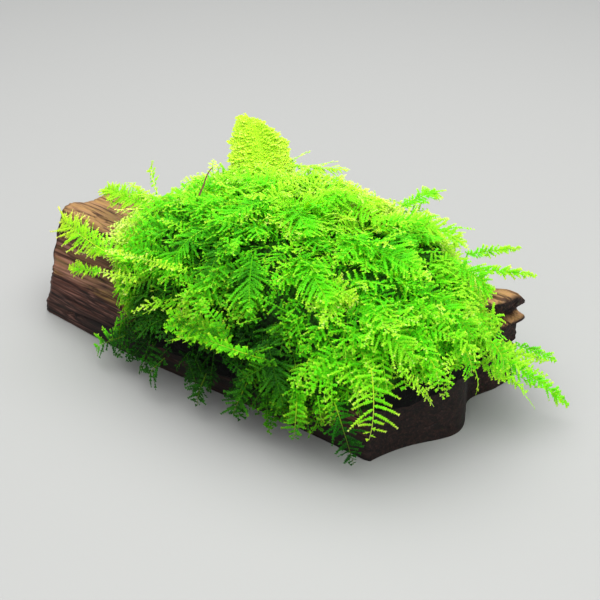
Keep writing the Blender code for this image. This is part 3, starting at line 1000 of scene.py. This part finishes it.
def row_fronds():
    """The rows' roots and tips, from their angles seen from the cushion's centre."""
    found = {}
    for row, (root_elevation, tip_elevation, turn, width, bearings) in ROWS.items():
        for number, bearing in enumerate(bearings, start=1):
            root = direction_of(bearing, root_elevation)
            tip = direction_of(bearing + turn, tip_elevation)
            root = raised(MAT_CENTRE + root * (envelope_radius(root) + ROW_GAP))
            tip = raised(MAT_CENTRE + tip * (envelope_radius(tip) + TIP_STANDS_OUT))
            name = f"frond_{row}_{number:02d}"
            found[name] = (root, ROW_TIPS.get(name, tip), width, 1.0)
    return found


def arched_spines(roots, tips, rises, gaps):
    """Arcs: a straight line plus 4t(1 - t) times the rise, kept clear of the envelope."""
    arch = rises[:, None] * unit((roots + tips) / 2 - MAT_CENTRE)
    spines = straight_spines(roots, tips) + 4.0 * STEPS * (1 - STEPS) * arch[:, None]
    level = raised(spines, -1.0) - MAT_CENTRE
    direction = unit(level)
    short = envelope_radius(direction) + gaps[:, None] - np.linalg.norm(level, axis=-1)
    return spines + direction * np.maximum(short, 0.0)[..., None]


print("fronds in rows:", len(row_fronds()))

# %% Plumes
# Fronds whose side branches are feathers themselves: how many, where they start and end along
# the stem, their own width; then by place along it their length left and right, and their angles.
PLUMES = {
    "frond_crest": {
        "count": 64, "ends": (-0.2, 0.88), "width": 2.8,
        "reach": ((-0.25, 0.0, 0.35, 0.65, 0.9), (7.4, 7.6, 7.0, 6.0, 3.4), (4.6, 5.4, 5.6, 3.0, 1.0)),
        "angles": ((80.0, 30.0), (100.0, 45.0))},
    "frond_front_bright": {
        "count": 11, "ends": (0.3, 0.96), "width": 3.2,
        "reach": ((0.3, 0.6, 0.8, 1.0), (1.5, 3.2, 5.0, 4.0), (4.5, 7.0, 6.5, 4.0)),
        "angles": ((60.0, 14.0), (56.0, 18.0))},
}
PLUME_WIDTH = 15.0  # of the whole plume, which turns it to the front


def plume_spines(spine, form):
    """The side feathers of a plume, left and right in turn; their angles close towards its tip."""
    number = np.arange(form["count"])
    hand = number % 2
    first, last = form["ends"]
    t = first + (last - first) * (number + 0.5) / form["count"]
    start, end = spine[0], spine[-1]
    ahead = unit(end - start)
    side = blade_axes(spine[None], np.array([PLUME_WIDTH]), np.zeros(1), np.zeros(1))[0]
    side = side[0, SPINE_STEPS // 2]
    base = start + (end - start) * t[:, None]
    across = side * np.where(hand == 0, 1.0, -1.0)[:, None]
    places, left, right = form["reach"]
    length = np.where(hand == 0, np.interp(t, places, left), np.interp(t, places, right))
    length = length * chance.uniform(0.88, 1.08, form["count"])
    low, high = np.array(form["angles"])[hand].T
    angle = np.radians(low + (high - low) * smooth(0.0, 1.0, t))[:, None]
    way = ahead * np.cos(angle) + across * np.sin(angle)
    return base[:, None] + way[:, None] * (length[:, None, None] * STEPS)


print("side feathers:", {name: form["count"] for name, form in PLUMES.items()})

# %% [markdown]
# No two fronds are the same green. A young one is paler, one in the shade has leaves all
# alike, and one that faces the light is wider and fuller. These numbers could be drawn by
# chance, as for the rows, but here the photograph tells them, frond by frond.

# %% Looks of the fronds
# Age 0 to 1; fullness times the usual number of branches; feather, angles at root and tip;
# leafy, leaves on the stem; lit, taken out of the shade; contrast between leaves; leaf, size;
# facing, how strongly a wide blade turns to the front; flatness, how level a blade lies.
PLAIN_LOOKS = {"age": 0.12, "fullness": 1.0, "feather": FEATHER, "leafy": 0.0, "lit": 0.0,
               "contrast": 1.0, "leaf": 1.0, "stem": STEM_WIDTH, "facing": 1.0, "flatness": 0.0}
ROW_LOOKS = {"fullness": 1.45, "leafy": 1.0, "feather": (66.0, 42.0)}
SIDE_FEATHER = {"fullness": 1.5, "leafy": 1.0, "feather": (50.0, 25.0)}  # thin ones against the sky
OWN_LOOKS = {
    "frond_crest": {
        "age": 0.44, "tint": 0.7, "fullness": 2.6, "feather": (60.0, 40.0), "lit": 0.85,
        "contrast": 0.35, "leaf": 1.25, "stem": 0.6, "facing": 7.0},
    "frond_back_top": {"age": 0.36, "tint": 0.8, "fullness": 1.8, "leafy": 1.0, "contrast": 0.6},
    "frond_right_top": {"age": 0.24, "tint": 0.75, **SIDE_FEATHER, "fullness": 1.6},
    "frond_left_long": {"age": 0.40, "tint": 0.9, "fullness": 1.7, "feather": (70.0, 40.0)},
    "frond_left_low": {
        "age": 0.34, "tint": 0.9, "fullness": 1.3, "leafy": 1.0, "feather": (48.0, 30.0)},
    "frond_back_left": {
        "age": 0.26, "tint": 0.85, "fullness": 2.4, "leafy": 1.0, "feather": (60.0, 30.0),
        "contrast": 0.6},
    "frond_left_thin": {"age": 0.35, "tint": 0.9},
    "frond_right_back": {"age": 0.25, "tint": 0.75, **SIDE_FEATHER},
    "frond_right_thin": {"age": 0.25, "tint": 0.75, **SIDE_FEATHER},
    "frond_tail": {"age": 0.14, "tint": 0.6, **SIDE_FEATHER, "feather": (64.0, 34.0)},
    "frond_tail_upper": {"age": 0.14, "tint": 0.6, **SIDE_FEATHER, "feather": (60.0, 30.0)},
    "frond_front_clear": {
        "age": 0.26, "tint": 0.7, "fullness": 0.60, "feather": (88.0, 74.0), "lit": 0.6},
    "frond_front_bright": {
        "age": 0.15, "tint": 0.75, "fullness": 1.5, "feather": (62.0, 40.0), "lit": 0.9,
        "leaf": 1.15, "flatness": 0.6},
    # painted shade: an age of -0.25 makes this frond the darkest green, as it hangs in shadow
    "frond_front_dark": {"age": -0.25, "tint": 0.2},
}
print("fronds with looks of their own:", len(OWN_LOOKS))


# %% Age and painted light by place
def youth_and_light(places):
    """Shoots are younger, so paler, away from the dark fold and over the front right corner, and
    youngest behind and at the left end, where the light comes from all sides. The paleness is partly
    real age
    and partly painted light: paler where more light falls, and less so in the fold's painted shade."""
    x, y, z = places[..., 0], places[..., 1], places[..., 2]
    # painted light: a paler patch over the front right corner
    corner = smooth(41.0, 50.0, x) * smooth(-9.0, -19.0, y) * smooth(17.0, 23.0, z)
    edge = 9.0 * smooth(12.0, 34.0, x)
    behind = smooth(-7.0, 8.0, y - edge) * (1.0 - 0.8 * smooth(44.0, 54.0, x)) * smooth(8.0, 24.0, z)
    found = 0.15 * smooth(3.0, 13.0, from_valley(places)) + 0.34 * behind
    return np.minimum(found + 0.22 * smooth(-5.0, -28.0, x) + 0.13 * corner, 0.50)


# %% [markdown]
# All the long fronds are worked out together. Each one then takes its own faces, those of
# its side feathers too where it is a plume, and takes its solid's place. The bare stem is
# left for later, since it has another finish.

# %% Build the long fronds
LONG_GAP = 1.3  # between the envelope and a long frond
STEM_STANDS_OUT = 0.8  # more room under the bare stem


def long_looks(names, widths, middles):
    """The looks of each frond: the plain ones, those of the rows, or its own, and a tint by chance."""
    tints = chance.uniform(0.35, 0.7, len(names))
    own = []
    for name, tint, age in zip(names, tints, youth_and_light(middles)):
        row = {} if name in LONG_FRONDS else {**ROW_LOOKS, "age": age - 0.04}
        own.append({**PLAIN_LOOKS, "tint": tint, **row, **OWN_LOOKS.get(name, {})})
    looks = {key: np.array([look[key] for look in own], float) for key in own[0]}
    looks["width"], looks["turn"] = widths, np.zeros(len(names))
    return looks


def make_long_fronds():
    """One piece for each long frond, in place of its solid; returns their spines by name."""
    table = {**LONG_FRONDS, **row_fronds()}
    names = list(table)
    roots, tips = (np.array([table[n][k] for n in names], float) for k in (0, 1))
    widths, rises = (np.array([table[n][k] for n in names], float) for k in (2, 3))
    gaps = np.array([LONG_GAP if name in LONG_FRONDS else ROW_GAP for name in names])
    gaps[names.index("frond_bare_stem")] += STEM_STANDS_OUT
    spines = arched_spines(roots, tips, rises, gaps)
    looks = long_looks(names, widths, spines[:, SPINE_STEPS // 2])
    part_of, all_spines = np.arange(len(names)), [spines]
    for name, form in PLUMES.items():
        looks["width"][names.index(name)] = form["width"]
        all_spines.append(plume_spines(spines[names.index(name)], form))
        part_of = np.concatenate([part_of, np.full(form["count"], names.index(name))])
    looks = {key: values[part_of] for key, values in looks.items()}
    points, faces, growth, owner = frond_arrays(np.concatenate(all_spines), looks, chance)
    for number, name in enumerate(names):
        if name == "frond_bare_stem":
            continue
        mine = part_of[owner] == number
        piece = make_piece(name + "_leaves", *some_faces(points, faces, growth, mine))
        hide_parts(name)
        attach(piece, "root")
    return dict(zip(names, spines))


long_spines = make_long_fronds()

# %% [markdown]
# ## The shoots of the cushion
#
# Moss shoots grow towards the light and bend over under their own weight, so they leave
# the cushion nearly level and lie in shelves, one over the other, as on a cedar. Shoots
# that followed the cushion's surface would look combed. So each one starts inside, runs
# out level on top and aslant on the flanks, and ends a little outside. They come in tufts
# that fan out from one place at one height, which leaves a dark gap under each. Tufts are
# spread by the golden angle, which sets any number of places evenly over a dome. Between
# them lies a carpet of shorter shoots, and thin young ones stand out over all.

# %% Places on the cushion
def golden_places(count):
    """Places on the envelope by the golden angle: even heights from 1 to -0.1 of a unit dome."""
    index = np.arange(count) + 0.5
    height = 1.0 - 1.1 * index / count
    bearing = index * math.pi * (3.0 - math.sqrt(5.0))
    across = np.sqrt(1.0 - height**2)
    flat = np.column_stack([across * np.cos(bearing), across * np.sin(bearing), height])
    outward = unit(flat * MAT_REACH_HIGH)
    level = MAT_CENTRE + outward * envelope_radius(outward)[:, None]
    level[:, 2] = np.maximum(level[:, 2], MAT_CENTRE[2])
    return raised(level)


def surface_normals(points):
    """The way straight out of the envelope: how its height changes by a step along each axis."""
    here = height_over(points)[0]
    steps = [height_over(points + 0.3 * axis)[0] - here for axis in np.eye(3)]
    return unit(np.stack(steps, axis=-1))


print("three places on the cushion:", golden_places(3).round(1).tolist())

# %% Ways that shoots grow
CROWN = np.array([4.0, 1.0])
TOP_SLOPE = 0.15
FLANK_SLOPE = -0.9
FRONT_LEAN = 0.6  # radians
CUT_ROOM = -1.3  # height of the tips over the envelope where it is cut


def headings(places, turns, slopes):
    """Level ways that lead away from the crown, more to the left in front, turned, and sloped up
    on top and down on flanks."""
    away = places[:, :2] - CROWN
    lean = FRONT_LEAN * smooth(-4.0, -20.0, places[:, 1]) * smooth(46.0, 34.0, places[:, 0])
    bearing = np.arctan2(away[:, 1], away[:, 0]) + turns - lean
    slope = FLANK_SLOPE + (TOP_SLOPE - FLANK_SLOPE) * surface_normals(places)[:, 2] + slopes
    return unit(np.column_stack([np.cos(bearing), np.sin(bearing), slope]))


def grown(roots, ways, lengths, layers, curls, arches):
    """Shoots from roots along ways, whose tips are set to a height over the envelope, lower where
    it is cut. They bend by t(1 - t): sideways by curl times length, and up by arch."""
    tips = roots + ways * lengths[:, None]
    height, outward = height_over(tips)
    for way, reach in CUTS:
        inside = reach - (tips - outward * height[:, None] - MAT_CENTRE) @ way
        layers = np.minimum(layers, CUT_ROOM + np.maximum(inside, 0.0))
    tips = tips + outward * (layers - height)[:, None]
    sideways = unit(np.cross((0.0, 0.0, 1.0), ways)) * (curls * lengths)[:, None]
    bend = sideways + np.multiply.outer(arches, (0.0, 0.0, 1.0))
    return off_the_block(straight_spines(roots, tips) + bend[:, None] * STEPS * (1 - STEPS))


# %% Tufts and carpet
TUFTS = 130
SHOOTS_PER_TUFT = 8
TUFT_FAN = 58.0  # degrees to either side
CARPET_SHOOTS = 640


def tuft_spines():
    """Shelves: the shoots of a tuft share a root, a height and a droop, and fan out from it."""
    places = golden_places(TUFTS) + chance.normal(0.0, 1.4, (TUFTS, 3))
    tuft, number = spread(np.full(TUFTS, SHOOTS_PER_TUFT))
    count = len(tuft)
    fan = 2.0 * (number + 0.5) / SHOOTS_PER_TUFT - 1.0
    turn = chance.normal(0.0, 22.0, TUFTS)[tuft] + TUFT_FAN * fan + chance.normal(0.0, 9.0, count)
    slope = chance.normal(0.0, 0.15, TUFTS)[tuft] + chance.normal(0.0, 0.08, count)
    way = headings(places[tuft], np.radians(turn), slope)
    middle = headings(places, np.zeros(TUFTS), np.zeros(TUFTS))
    root = (places - surface_normals(places) * 3.5 - middle * 3.0)[tuft]
    root = root + chance.normal(0.0, 1.2, (count, 3))
    lengths = chance.uniform(9.0, 15.0, TUFTS)[tuft] * (1.0 - 0.25 * np.abs(fan))
    lengths = lengths * chance.uniform(0.8, 1.1, count)
    layers = chance.uniform(-0.8, 3.2, TUFTS)[tuft] + chance.normal(0.0, 0.5, count)
    curls, arches = chance.normal(0.0, 0.3, count), chance.uniform(2.0, 7.0, count)
    spines = grown(root, way, lengths, layers, curls, arches)
    return spines, chance.uniform(4.0, 8.0, count), chance.normal(0.03, 0.12, TUFTS)[tuft]


def carpet_spines():
    """Shorter shoots spread evenly below the tufts' fringes, heading outward or aslant."""
    count = CARPET_SHOOTS
    places = golden_places(count) + chance.normal(0.0, 1.0, (count, 3))
    turns = np.radians(100.0) * chance.uniform(-1.0, 1.0, count)
    way = headings(places, turns, chance.normal(0.0, 0.2, count))
    roots = places - surface_normals(places) * 3.2 - way * 3.0
    spines = grown(roots, way, chance.uniform(7.0, 12.0, count), chance.uniform(-1.9, 0.9, count),
                   chance.normal(0.0, 0.4, count), chance.uniform(1.0, 5.0, count))
    return spines, chance.uniform(3.5, 7.0, count), np.full(count, -0.05)


print("shoots in tufts:", TUFTS * SHOOTS_PER_TUFT, "in the carpet:", CARPET_SHOOTS)

# %% Crown, young ones and hollow
CROWN_SHOOTS = 60
CROWN_RADIUS = 11.0
YOUNG_SHOOTS = 90
HOLLOW_SHOOTS = 36


def crown_spines():
    """Shoots that cross the crown every way, since all the others lead away from it."""
    count = CROWN_SHOOTS
    away = CROWN_RADIUS * np.sqrt(chance.uniform(0.0, 1.0, count))
    bearing = chance.uniform(0.0, 2.0 * math.pi, count)
    flat = CROWN + np.column_stack([away * np.cos(bearing), away * np.sin(bearing)])
    roots = np.column_stack([flat, np.full(count, MAT_CENTRE[2] + MAT_REACH_HIGH[2] - 3.5)])
    way = unit(chance.normal(0.0, 1.0, (count, 3)) * (1.0, 1.0, 0.0) + (0.0, 0.0, 1e-3))
    spines = grown(roots, way, chance.uniform(8.0, 13.0, count), chance.uniform(0.0, 2.6, count),
                   chance.normal(0.0, 0.4, count), chance.uniform(2.0, 6.0, count))
    return spines, chance.uniform(4.0, 7.0, count), np.full(count, 0.04)


def young_spines():
    """Thin shoots that stand out of the cushion by half their length."""
    count = YOUNG_SHOOTS
    places = golden_places(count) + chance.normal(0.0, 2.0, (count, 3))
    way = headings(places, chance.normal(0.0, 0.7, count), chance.uniform(0.1, 0.7, count))
    length = chance.uniform(6.0, 9.5, count)
    spines = grown(places - way * 2.0, way, length, length * 0.38, chance.normal(0.0, 0.3, count),
                   chance.uniform(1.0, 4.0, count))
    return spines, chance.uniform(1.8, 3.2, count), np.full(count, 0.28)


def hollow_spines():
    """Shoots in the shade under the bright frond, hanging from the hem nearly to the ground."""
    count = HOLLOW_SHOOTS
    x = chance.uniform(-18.0, 30.0, count)
    roots = np.column_stack([x, chance.uniform(-28.5, -26.0, count), chance.uniform(9.0, 14.0, count)])
    tips = roots + np.column_stack([chance.normal(0.0, 3.0, count), chance.uniform(-4.0, -1.5, count),
                                    -chance.uniform(4.0, 8.5, count)])
    spines = off_the_block(straight_spines(roots, tips))
    # painted shade: an age of -0.2 makes these shoots the darkest green, for the hollow's shade
    return spines, chance.uniform(3.5, 6.0, count), np.full(count, -0.2)


print("on the crown:", CROWN_SHOOTS, "young:", YOUNG_SHOOTS, "in the hollow:", HOLLOW_SHOOTS)

# %% [markdown]
# Some single shoots can be told apart in the photograph too, such as the fingers of the
# bright frond and the tips that hang over the right end. They have no solids of their own,
# so a second table puts them among the others. And a long frond grows out of a bunch of
# shorter ones that point its way, so a few are set behind its root.

# %% Single shoots
SINGLE_SHOOTS = np.array([
    # root x, y, z, tip x, y, z, width, age
    (14.0, -31.0, 20.5, 2.0, -31.5, 14.5, 3.2, 0.28),  # fingers of the bright frond at the front left
    (16.0, -30.5, 21.0, 4.5, -30.0, 22.5, 4.4, 0.34),
    (19.0, -30.5, 22.0, 10.5, -29.5, 26.5, 4.2, 0.28),
    (14.0, -31.5, 19.5, 6.0, -31.5, 17.0, 3.0, 0.34),
    (17.0, -31.0, 21.0, 4.0, -30.5, 20.0, 4.6, 0.28),
    (31.0, -30.5, 21.0, 23.5, -32.5, 14.0, 5.0, 0.10),  # over its foot
    (30.0, -30.0, 23.0, 22.0, -31.5, 18.5, 4.0, 0.12),
    (56.5, -25.5, 27.0, 57.5, -15.3, 14.4, 3.0, 0.30),  # tips that hang over the right end
    (57.0, -14.0, 23.0, 57.5, -17.8, 18.2, 2.6, 0.22),
    (57.0, -9.5, 20.0, 57.5, -12.4, 14.6, 2.6, 0.22),
    (57.5, -2.5, 17.5, 58.0, -1.3, 10.8, 2.4, 0.26),
    (43.5, -28.5, 20.0, 44.0, -29.5, 11.0, 4.6, 0.24),  # pointed tips at the front
    (36.5, -29.0, 15.0, 36.9, -29.5, 8.0, 4.4, 0.20),
    (40.5, -29.0, 16.0, 42.0, -29.5, 10.0, 4.0, 0.10),
    (-12.6, -1.5, 37.6, -15.4, 1.8, 39.2, 2.2, 0.45),  # the tuft on the tall bare stem
    (49.0, 9.0, 16.0, 60.0, 19.5, 10.0, 3.6, 0.02),  # sprays at the foot of the two tails
    (50.0, 6.0, 17.5, 61.0, 14.5, 12.5, 4.5, 0.02),
    (51.0, 1.0, 17.0, 62.5, 8.0, 10.0, 4.5, 0.04),
    (52.0, 8.0, 16.5, 61.5, 18.0, 10.5, 4.0, 0.0),
    (53.0, 7.0, 16.0, 64.0, 15.0, 9.5, 4.0, -0.04),
    (53.0, 4.0, 16.0, 64.5, 11.5, 8.5, 4.0, 0.0),
    (54.0, 3.0, 15.0, 64.0, 8.0, 9.0, 3.6, 0.04),
    (5.0, -27.5, 30.0, -19.0, -27.5, 27.0, 3.0, 0.30),  # feet of the two long fronds at the left
    (-8.0, -29.5, 24.5, -23.0, -28.0, 21.0, 3.4, 0.30),
    (-18.0, -7.0, 31.5, -36.0, -7.0, 28.0, 5.0, 0.26),  # sprays under the one at the back left
    (-17.0, -11.0, 31.0, -33.0, -12.0, 26.5, 5.0, 0.26),
    (-16.0, -15.0, 30.0, -30.0, -17.0, 25.5, 5.0, 0.24),
])
SINGLE_ARCH = 0.8


def single_spines():
    """The shoots of the table, each in a shallow arc."""
    roots, tips, (widths, ages) = SINGLE_SHOOTS[:, 0:3], SINGLE_SHOOTS[:, 3:6], SINGLE_SHOOTS[:, 6:8].T
    spines = straight_spines(roots, tips)
    outward = height_over(spines)[1]
    return spines + outward * (4.0 * STEPS * (1 - STEPS) * SINGLE_ARCH), widths, ages


print("single shoots:", len(SINGLE_SHOOTS))

# %% Shoots beside the long fronds
BESIDE = ("frond_left_long", "frond_back_left", "frond_back_top", "frond_right_top", "frond_tail",
          "frond_end_a", "frond_end_b", "frond_end_c", "frond_hem_b", "frond_hem_c")
BESIDE_EACH = 3


def beside_spines():
    """Shorter shoots from behind each long frond's root, that point nearly its way."""
    own = np.array([long_spines[name] for name in BESIDE for _ in range(BESIDE_EACH)])
    count = len(own)
    way = own[:, -1] - own[:, 0]
    length = np.linalg.norm(way, axis=1, keepdims=True)
    inward = unit(MAT_CENTRE + (0.0, 0.0, 6.0) - own[:, 0])
    root = own[:, 0] + inward * chance.uniform(1.0, 4.0, (count, 1))
    root = root - unit(way) * chance.uniform(1.0, 5.0, (count, 1))
    tip = own[:, 0] + way * chance.uniform(0.35, 0.85, (count, 1))
    tip = tip + chance.normal(0.0, 1.0, (count, 3)) * np.minimum(length, 18.0) * 0.13
    spines = straight_spines(root, tip)
    spines[..., 2] += 3.0 * (STEPS * (1 - STEPS))[..., 0]
    return off_the_block(spines), chance.uniform(4.0, 6.0, count), np.full(count, 0.1)


print("beside long fronds:", len(BESIDE) * BESIDE_EACH)

# %% [markdown]
# A rule that spreads shoots evenly also puts some where none grow. Those that would hang
# below the hem are cut off there, and those that would hide the tall bare stem are left
# out. Both are quicker than a rule that avoids such places from the start.

# %% Trimming of the shoots
STEM_ROOM = 3.2  # around the stem and a little over it


def cut_at_hem(spines):
    """Each spine shortened to where it hangs clear of the hem."""
    below = spines[..., 2] < hem_at(spines)
    first = np.where(below.any(axis=1), below.argmax(axis=1), SPINE_STEPS)
    share = np.clip((first - 1) / (SPINE_STEPS - 1), 0.0, 1.0)
    place = STEPS[..., 0] * share[:, None] * (SPINE_STEPS - 1)
    low = np.minimum(place.astype(int), SPINE_STEPS - 2)
    row = np.arange(len(spines))[:, None]
    part = (place - low)[..., None]
    return spines[row, low] * (1 - part) + spines[row, low + 1] * part, first > SPINE_STEPS // 2


def off_the_stem(spines):
    """Whether each spine leaves room over the tall bare stem, so that it can be seen."""
    stem = long_spines["frond_bare_stem"] + (0.0, 0.0, 1.5)
    return np.linalg.norm(spines[:, :, None] - stem, axis=-1).min(axis=(1, 2)) > STEM_ROOM


# %% [markdown]
# The seven kinds are joined and trimmed, and their fronds are grown in one go. One mesh for
# each shoot would make more than a thousand pieces, and one for all would be hard to handle,
# so they're shared out to six pieces, like slices of a cake seen from above.

# %% Build the shoots
PIECES = 6
YOUNG_FROM_FOLD = (3.0, 12.0)  # distances from the fold where young shoots start to be pale, and are
YOUNG_HEIGHTS = (13.0, 25.0)  # and heights, for the trimmed ones


def shoot_looks(middle, widths, ages):
    """The looks of the shoots: their age and tint by place and in patches, the rest by chance."""
    count = len(widths)
    patch = 0.5 * (field(middle / 9.0 + 30.0) + field(middle / 4.0 + 70.0)) - 0.5
    return {"width": widths, "age": youth_and_light(middle) + 0.5 * patch + ages - 0.02,
            "tint": 0.45 + 0.7 * patch + chance.uniform(-0.12, 0.12, count),
            "fullness": chance.uniform(0.62, 1.0, count), "turn": chance.normal(0.0, 0.4, count),
            "feather": np.tile(FEATHER, (count, 1)), "leafy": np.ones(count),
            "lit": np.where(ages > 0.25, 0.8, 0.0), "leaf": np.ones(count),
            "stem": np.full(count, STEM_WIDTH), "facing": np.ones(count),
            "contrast": 1.0 - 0.5 * smooth(-14.0, 4.0, middle[:, 1]),
            "flatness": 0.25 + 1.05 * smooth(9.0, 22.0, middle[:, 2])}


def make_shoots():
    """All the shoots, shared out to pieces by the bearing of their middle.

    Young ones are pale only away from the dark fold and, where they are trimmed, high up, so that none
    stands pale in the painted shade."""
    trimmed = [tuft_spines(), carpet_spines(), crown_spines(), young_spines()]
    whole = [hollow_spines(), beside_spines(), single_spines()]
    spines, widths, ages = [np.concatenate(kind) for kind in zip(*trimmed, *whole)]
    free = np.arange(len(spines)) >= len(spines) - sum(len(kind[1]) for kind in whole)
    cut, long_enough = cut_at_hem(spines)
    spines = np.where(free[:, None, None], spines, cut)
    single = np.arange(len(spines)) >= len(spines) - len(SINGLE_SHOOTS)
    keep = (free | long_enough) & (off_the_stem(spines) | single)
    spines, widths, ages, free = spines[keep], widths[keep], ages[keep], free[keep]
    count = len(spines)
    middle = spines[:, SPINE_STEPS // 2]
    # painted shade: near the fold and low down, young shoots lose their pale colour
    fade = smooth(*YOUNG_FROM_FOLD, from_valley(middle))
    fade = fade * np.where(free, 1.0, smooth(*YOUNG_HEIGHTS, middle[:, 2]))
    ages = ages * np.where(ages > 0.0, fade, 1.0)
    looks = shoot_looks(middle, widths, ages)
    points, faces, growth, owner = frond_arrays(spines, looks, chance)
    bearing = np.arctan2(middle[:, 1] - MAT_CENTRE[1], middle[:, 0] - MAT_CENTRE[0])
    group = np.empty(count, int)
    group[np.argsort(bearing)] = np.arange(count) * PIECES // count
    print("shoots:", count, "triangles:", len(faces))
    for number in range(PIECES):
        mine = group[owner] == number
        piece = make_piece(f"moss_shoots_{number + 1}", *some_faces(points, faces, growth, mine))
        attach(piece, "root")


make_shoots()

# %% [markdown]
# ## Bare stems
#
# Where old shoots have lost their leaves, thin brown stems are left. One of them stands
# curved at the top left with a pale tuft at its tip, the others lie half hidden between
# the feathers. They're the same tapered tubes as the ribs of the fronds, only wider.

# %% Bare stems
STEM_BROWN = (0.110, 0.045, 0.020)
TALL_STEM_WIDTH = 0.5
HIDDEN_STEMS = 9
HIDDEN_STEM_WIDTH = 0.34
HIDDEN_ABOVE = 15.0  # height over the ground
HIDDEN_UNDER = 1.2  # height over the envelope


def make_stem_finish():
    """Dull red-brown."""
    finish, _, shader = new_finish("bare stem", 0.6, 0.2)
    shader.inputs["Base Color"].default_value = (*STEM_BROWN, 1.0)
    return finish


def make_tall_stem(finish):
    """The curved stem in place of its solid; the tuft at its tip is one of the single shoots."""
    spine = long_spines["frond_bare_stem"][None]
    side, face = blade_axes(spine, np.array([2.0]), np.zeros(1), np.zeros(1))
    tube = stem_tubes(spine, side, face, np.array([TALL_STEM_WIDTH]))
    piece = make_piece("tall_stem", *tube, finish)
    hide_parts("frond_bare_stem")
    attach(piece, "root")


def make_hidden_stems(finish):
    """Thin stems that cross between the shoots, just under the fronds' height."""
    count = HIDDEN_STEMS
    places = golden_places(count) + chance.normal(0.0, 3.0, (count, 3))
    way = headings(places, chance.normal(0.0, 0.8, count), chance.normal(0.0, 0.2, count))
    lengths, layers = chance.uniform(9.0, 15.0, count), chance.uniform(-0.6, 0.8, count)
    curls, arches = chance.normal(0.0, 0.8, count), chance.uniform(3.0, 8.0, count)
    spines = grown(places - way * 4.0, way, lengths, layers, curls, arches)
    lowest, highest = spines[..., 2].min(axis=1), height_over(spines)[0].max(axis=1)
    spines = spines[(lowest > HIDDEN_ABOVE) & (highest < HIDDEN_UNDER)]
    none = np.zeros(len(spines))
    axes = blade_axes(spines, none, none, none)
    piece = make_piece("hidden_stems", *stem_tubes(spines, *axes, none + HIDDEN_STEM_WIDTH), finish)
    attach(piece, "root")


stem_finish = make_stem_finish()
make_tall_stem(stem_finish)
make_hidden_stems(stem_finish)

# %% [markdown]
# The long fronds and the shoots joined the CAD frame as they were made. The block and the
# tangle under the shoots do so now: each takes the place of its solid, and both ride on the
# one body that there is.

# %% Join the block and the bed to the frame
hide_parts("driftwood")
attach(driftwood, "root")
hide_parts("moss_mat")
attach(bed, "root")

# %% [markdown]
# ## Floor, light and camera
#
# The object stands on a plain pale floor. Moss like this grows under a wide lamp, so a
# broad, strong one hangs overhead, a weak one fills in from the front, and a pale surround
# keeps the shadows open. The camera looks down 28 degrees with a long lens.

# %% Floor
FLOOR_SIZE = 3.0  # metres
FLOOR_GREY = (0.365, 0.365, 0.354)


def make_floor():
    """A flat square, pale grey, well beyond the picture's edges."""
    half = FLOOR_SIZE / 2 / MM
    corners = np.array([(-half, -half, 0), (half, -half, 0), (half, half, 0), (-half, half, 0)], float)
    finish, _, shader = new_finish("floor", 0.7, 0.2)
    shader.inputs["Base Color"].default_value = (*FLOOR_GREY, 1.0)
    floor = make_piece("floor", corners, np.array([(0, 1, 2, 3)]), finish)


make_floor()

# %% Lamps and surround
SURROUND = (0.93, 0.96, 1.0)
SURROUND_STRENGTH = 0.46
OBJECT_MIDDLE = (5.0, 0.0, 15.0)
LAMP_OVER = (-20.0, 60.0, 420.0)
LAMP_FRONT = (260.0, -260.0, 260.0)


def in_frame(place):
    """A place measured in mm from the block's base, in metres from the part's origin."""
    return tuple((np.array(place) - ORIGIN) * MM)


def aim(thing, place, target):
    """Puts a camera or lamp at place with its -Z towards the target."""
    thing.location = in_frame(place)
    heading = Vector(in_frame(target)) - thing.location
    thing.rotation_euler = heading.to_track_quat("-Z", "Y").to_euler()


def make_lamp(name, place, target, size, power):
    """A square area lamp of that size in metres and power in watts, aimed at the target."""
    light = bpy.data.lights.new(name, "AREA")
    light.shape = "SQUARE"
    light.size = size
    light.energy = power
    lamp = bpy.data.objects.new(name, light)
    bpy.context.scene.collection.objects.link(lamp)
    aim(lamp, place, target)


def make_world():
    """A plain pale surround."""
    world = bpy.data.worlds.new("surround")
    world.use_nodes = True
    background = world.node_tree.nodes["Background"]
    background.inputs["Color"].default_value = (*SURROUND, 1.0)
    background.inputs["Strength"].default_value = SURROUND_STRENGTH
    bpy.context.scene.world = world


make_lamp("lamp_over", LAMP_OVER, OBJECT_MIDDLE, 0.60, 3.65)
make_lamp("lamp_front", LAMP_FRONT, OBJECT_MIDDLE, 0.45, 1.2)
make_world()
print("lamps at", LAMP_OVER, "and", LAMP_FRONT)

# %% Camera
CAMERA_AT = (185.9, -201.4, 156.3)
LOOKS_AT = (-7.0, 20.6, 0.0)
FOCAL_LENGTH = 84.0


def make_camera():
    """The photograph's view: azimuth 41 degrees, 28 degrees down, long lens."""
    camera = bpy.data.objects.new("camera", bpy.data.cameras.new("camera"))
    camera.data.lens = FOCAL_LENGTH
    camera.data.sensor_width = 36.0
    camera.data.clip_start = 0.01
    bpy.context.scene.collection.objects.link(camera)
    aim(camera, CAMERA_AT, LOOKS_AT)
    bpy.context.scene.camera = camera


make_camera()
bpy.context.scene.view_settings.view_transform = "Standard"
print("camera at", CAMERA_AT, "looks at", LOOKS_AT, "with a lens of", FOCAL_LENGTH, "mm")
